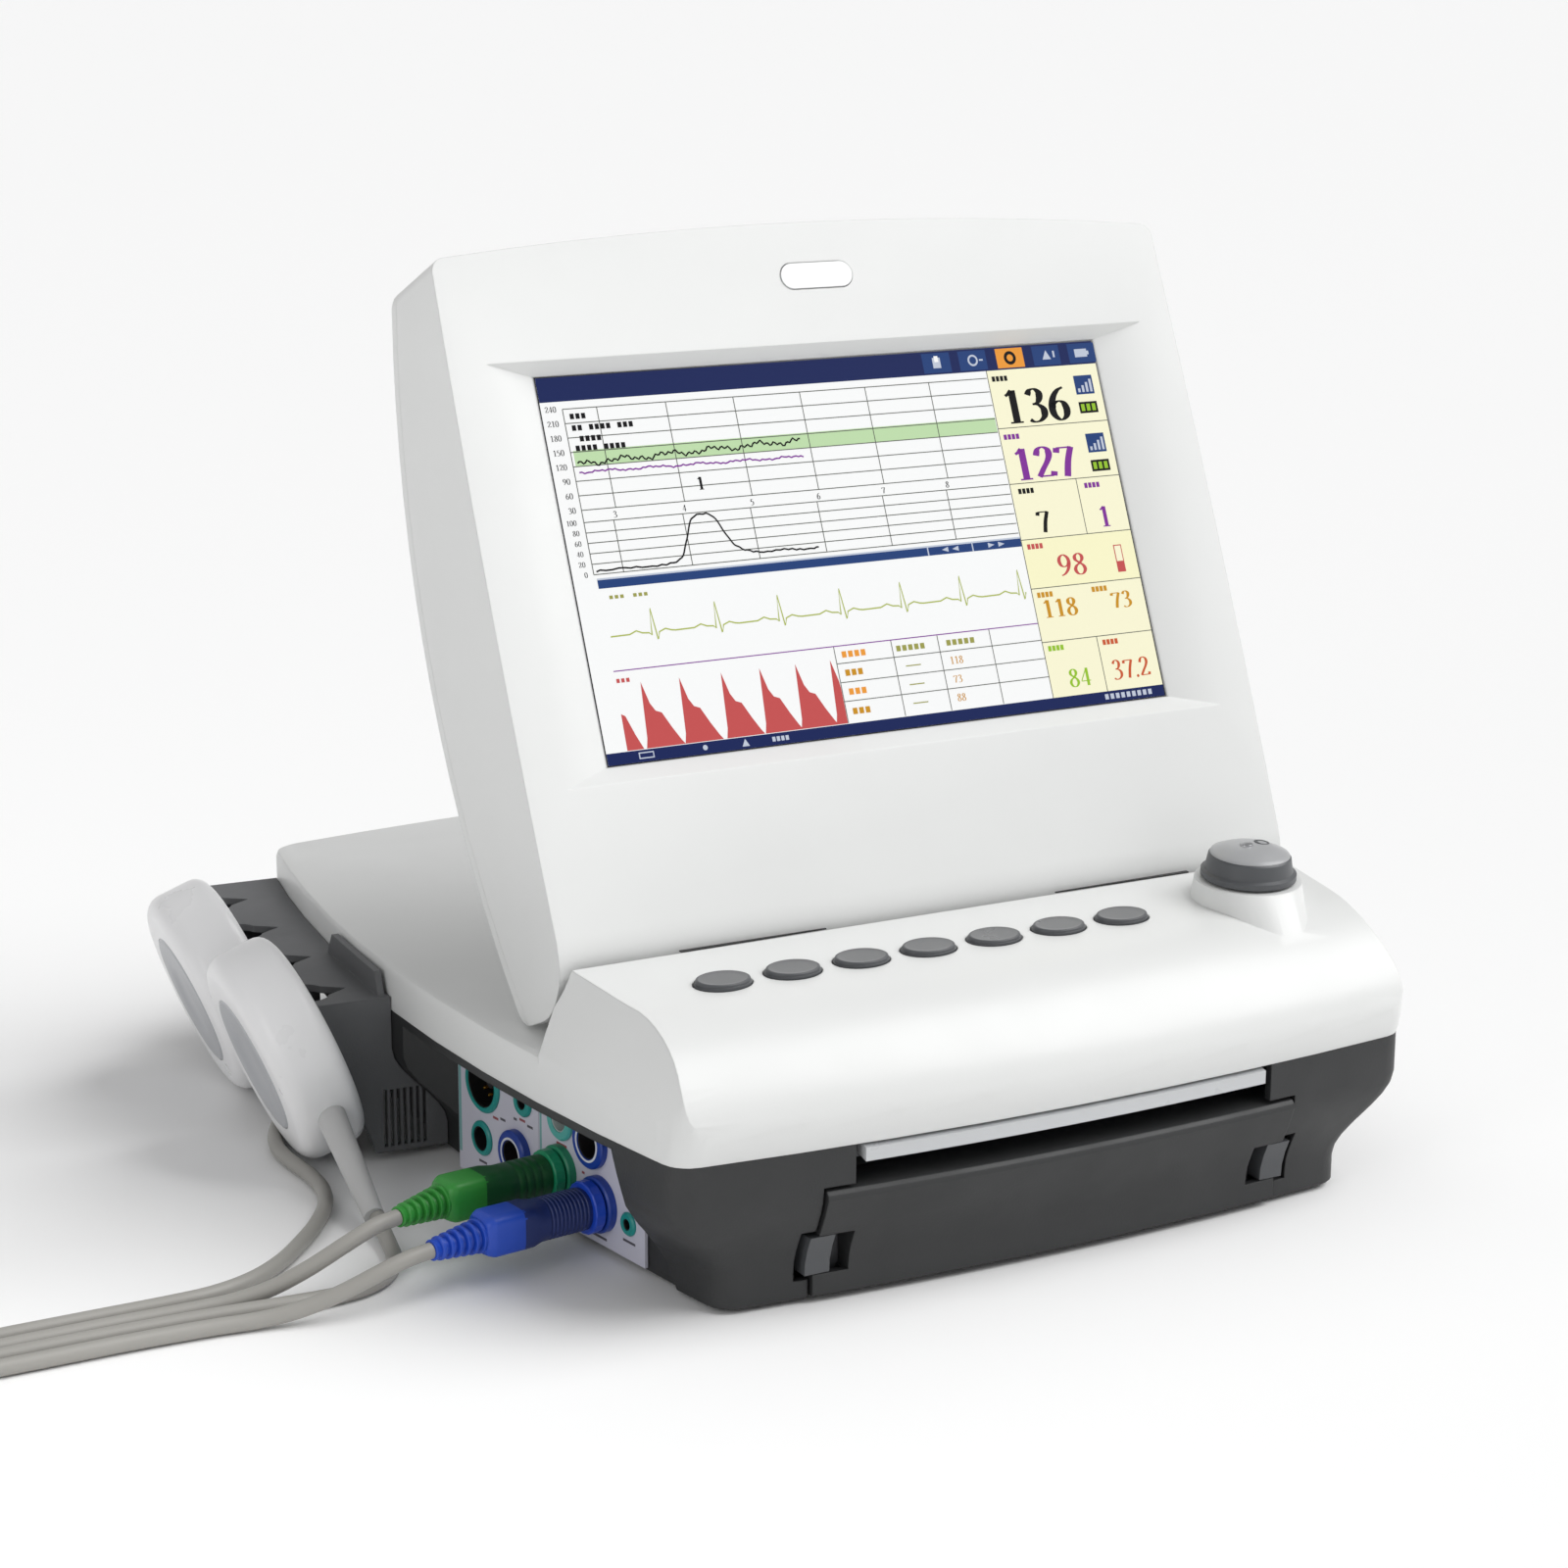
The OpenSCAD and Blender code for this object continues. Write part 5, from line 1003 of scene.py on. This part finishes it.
def knob_lid():
    """Pale domed lid on the knob, with a small button and a finger hollow."""
    matrix = console_matrix(103.8, KEY_ROW)
    profile = [(13.75, 15.2), (13.75, 16.2), (13.4, 16.62)]
    for i in range(1, 9):
        t = i / 8
        profile.append((13.3 * (1 - t) + 4.5 * t, 16.4 + 2.6 * math.sin(math.pi / 2 * t) + 0.18))
    profile += [(2.5, 19.3), (0.4, 19.32)]
    mesh_piece("knob_lid", *turned(profile, matrix, 96), LID, "knob", "control_grey")
    button = [(2.3, 18.9), (2.3, 19.5), (2.05, 19.85), (1.3, 20.05), (0.3, 20.1)]
    mesh_piece("knob_button", *turned(button, matrix @ Matrix.Translation((-1.8, 0, 0)), 40), STEEL, "knob",
               "steel_plain")
    place = matrix @ Matrix.Translation((5.3, 0.8, 19.02)) @ Matrix.Rotation(math.radians(6), 4, "Y")
    hollow = [(2.7, -0.3), (2.7, 0.16), (2.45, 0.26), (2.2, 0.2), (1.7, 0.06), (0.2, 0.04)]
    mesh_piece("knob_hollow", *turned(hollow, place, 40), CONTROL, "knob", "control_grey")


def slab(x0, y0, x1, y1, low, high, matrix, narrow=1.0):
    """Thin plate with bevelled upper edges; its second end can be narrower."""
    points = []
    for inset, z in ((0, low), (0, high - 0.05), (0.05, high)):
        middle = (y0 + y1) / 2
        half = (y1 - y0) / 2 - inset
        for x, wide in ((x0 + inset, 1), (x1 - inset, narrow)):
            for side in (-1, 1):
                points.append(matrix @ Vector((x, middle + side * half * wide, z)))
    faces = [(0, 1, 3, 2)]
    for k in (0, 4):
        for a, b in ((0, 2), (2, 3), (3, 1), (1, 0)):
            faces.append((k + a, k + b, k + 4 + b, k + 4 + a))
    faces.append((8, 10, 11, 9))
    return points, faces


def console_slit_shades():
    """Near-black strips at the console's rear edge, where the hinge arms come through: painted shade
    standing in for the slits.
    """
    matrix = console_matrix(0, SLIT_ROW)
    for name, thick_end, thin_end in (("slit_shade_left", -100.5, -46), ("slit_shade_right", 100.5, 45)):
        slit_shade = slab(thick_end, -2.1, thin_end, -0.5, -0.2, 0.16, matrix, 0.4)
        # The strip's near-black colour is painted shade in place of the hollow of a slit
        mesh_piece(name, *slit_shade, BLACK_INSIDES_AND_SLIT_SHADE, "cabinet", "control_grey", smooth=False)


key_tops()
knob_lid()
console_slit_shades()


# Socket insides and panel marks

def cup(radius, top, floor):
    """Profile of a thin tube open at its top, lining a socket."""
    wall = 0.45
    return [(radius - 0.05, floor), (radius - 0.05, top - 0.1), (radius - 0.15, top),
            (radius - wall + 0.1, top), (radius - wall, top - 0.1), (radius - wall, floor + 0.3)]


def socket_insides():
    """Liners, white lines, contacts and cores of the sockets that no plug fills."""
    around = 64
    for key, (along, height, _, bore, stand, depth) in SOCKETS.items():
        if key in ("green", "blue"):
            continue
        matrix = bay_matrix(along, height)
        face = PANEL_T + stand
        floor = 2.02 - depth
        inside = PALE_INSIDE if key == "pressure" else BLACK_INSIDES_AND_SLIT_SHADE
        liner = turned(cup(bore, face - 0.25, floor), matrix, around)
        mesh_piece(key + "_liner", *liner, inside, "cabinet", "socket_teal")
        if key in ("domed", "ring"):
            near = bore + 0.25
            far = near + 0.75
            line = [(near, face - 0.6), (near, face + 0.12), (far, face + 0.12), (far, face - 0.6)]
            points, faces = turned(line, matrix, around)
            faces = faces[:-2] + [(3 * around + i, 3 * around + (i + 1) % around, (i + 1) % around, i)
                                  for i in range(around)]
            mesh_piece(key + "_line", points, faces, RING_WHITE, "cabinet", "socket_teal")
            bar = slab(-0.9, -2.6, 0.9, 2.6, floor + 0.2, -2.2, matrix)
            mesh_piece(key + "_core", *bar, MARK_RED, "cabinet", "socket_teal", smooth=False)
        elif key == "ecg":
            pins = []
            for i in range(9):
                a = 2 * math.pi * (i + 0.5) / 9
                place = Matrix.Translation((0.62 * bore * math.cos(a), 0.62 * bore * math.sin(a), 0))
                pin = [(0.65, floor + 0.2), (0.65, -1.4), (0.4, -1), (0.15, -0.95)]
                pins.append(turned(pin, matrix @ place, 16))
            mesh_piece("ecg_contacts", *merged(*pins), GOLD, "cabinet", "steel_plain")
            core = [(2.6, floor + 0.2), (2.6, -1.2), (2.3, -0.9), (0.3, -0.9)]
            mesh_piece("ecg_core", *turned(core, matrix, 40), BLACK_INSIDES_AND_SLIT_SHADE, "cabinet", "socket_teal")
        elif key == "spo2":
            pin = [(0.7, floor + 0.2), (0.7, -0.4), (0.45, 0), (0.1, 0.05)]
            mesh_piece("spo2_contact", *turned(pin, matrix, 24), STEEL, "cabinet", "steel_plain")


def panel_marks():
    """Strips along the panels' rear edges, and plain short bars beside the sockets, as x, y and width."""
    flat = bay_matrix(0, 0)
    strips = [slab(x, 9, x + w, 48, PANEL_T - 0.1, PANEL_T + 0.06, flat)
              for x, w in ((0.7, 1.6), (52.2, 1.2))]
    mesh_piece("panel_strips", *merged(*strips), STRIP_TEAL, "cabinet", "panel_pale", smooth=False)
    dark = ((27.5, 27.8, 3.2), (44.5, 30.2, 3.4), (13.4, 8.6, 5), (76, 30.2, 2), (84, 4.6, 8),
            (101.5, 8.2, 7), (36, 30.4, 2))
    red = ((22.8, 27.0, 3.4), (39.6, 31.2, 3.6), (62.4, 29.8, 6.2), (77.6, 24.0, 1.6))
    for name, marks, material in (("dark", dark, MARK_DARK), ("red", red, MARK_RED)):
        bars = [slab(x, y, x + w, y + 0.9, PANEL_T - 0.1, PANEL_T + 0.08, flat) for x, y, w in marks]
        mesh_piece("panel_marks_" + name, *merged(*bars), material, "cabinet", "panel_pale", smooth=False)


socket_insides()
panel_marks()


# Studio

FLOOR_HALF = 40


def studio():
    """Pale floor, a world that is brighter near the horizon, a soft sun and a weak lamp at the left."""
    mesh = bpy.data.meshes.new("floor")
    corners = [(x * FLOOR_HALF, y * FLOOR_HALF, 0) for x, y in ((-1, -1), (1, -1), (1, 1), (-1, 1))]
    mesh.from_pydata(corners, [], [(0, 1, 2, 3)])
    floor = placed("floor", mesh)
    floor.location.z = -0.0002
    material, _, shader = new_material("floor_pale")
    fill(shader, {"Base Color": (0.96, 0.96, 0.96, 1), "Roughness": 0.7, "Specular IOR Level": 0.1})
    mesh.materials.append(material)
    world = bpy.data.worlds.new("studio")
    world.use_nodes = True
    tree = world.node_tree
    background = tree.nodes["Background"]
    split = locate(tree, add(tree, "ShaderNodeSeparateXYZ"), "Generated")
    limits = {"From Min": 0.04, "From Max": 0.3, "To Min": 0.8, "To Max": 0.42}
    rise = add(tree, "ShaderNodeMapRange", limits, interpolation_type="SMOOTHSTEP")
    tree.links.new(split.outputs["Z"], rise.inputs["Value"])
    fill(background, {"Color": (1, 1, 1, 1)})
    tree.links.new(rise.outputs["Result"], background.inputs["Strength"])
    scene.world = world
    sun = bpy.data.lights.new("key", "SUN")
    sun.energy = 2.4
    sun.angle = math.radians(50)
    way = Vector((-0.59, 0.31, -0.74)).to_track_quat("-Z", "Y")
    placed("key", sun).matrix_world = way.to_matrix().to_4x4()
    lamp = bpy.data.lights.new("fill", "POINT")
    lamp.energy = 4
    lamp.shadow_soft_size = 0.2
    placed("fill", lamp).location = (-0.85, -0.5, 0.42)
    scene.view_settings.view_transform = "Standard"


studio()
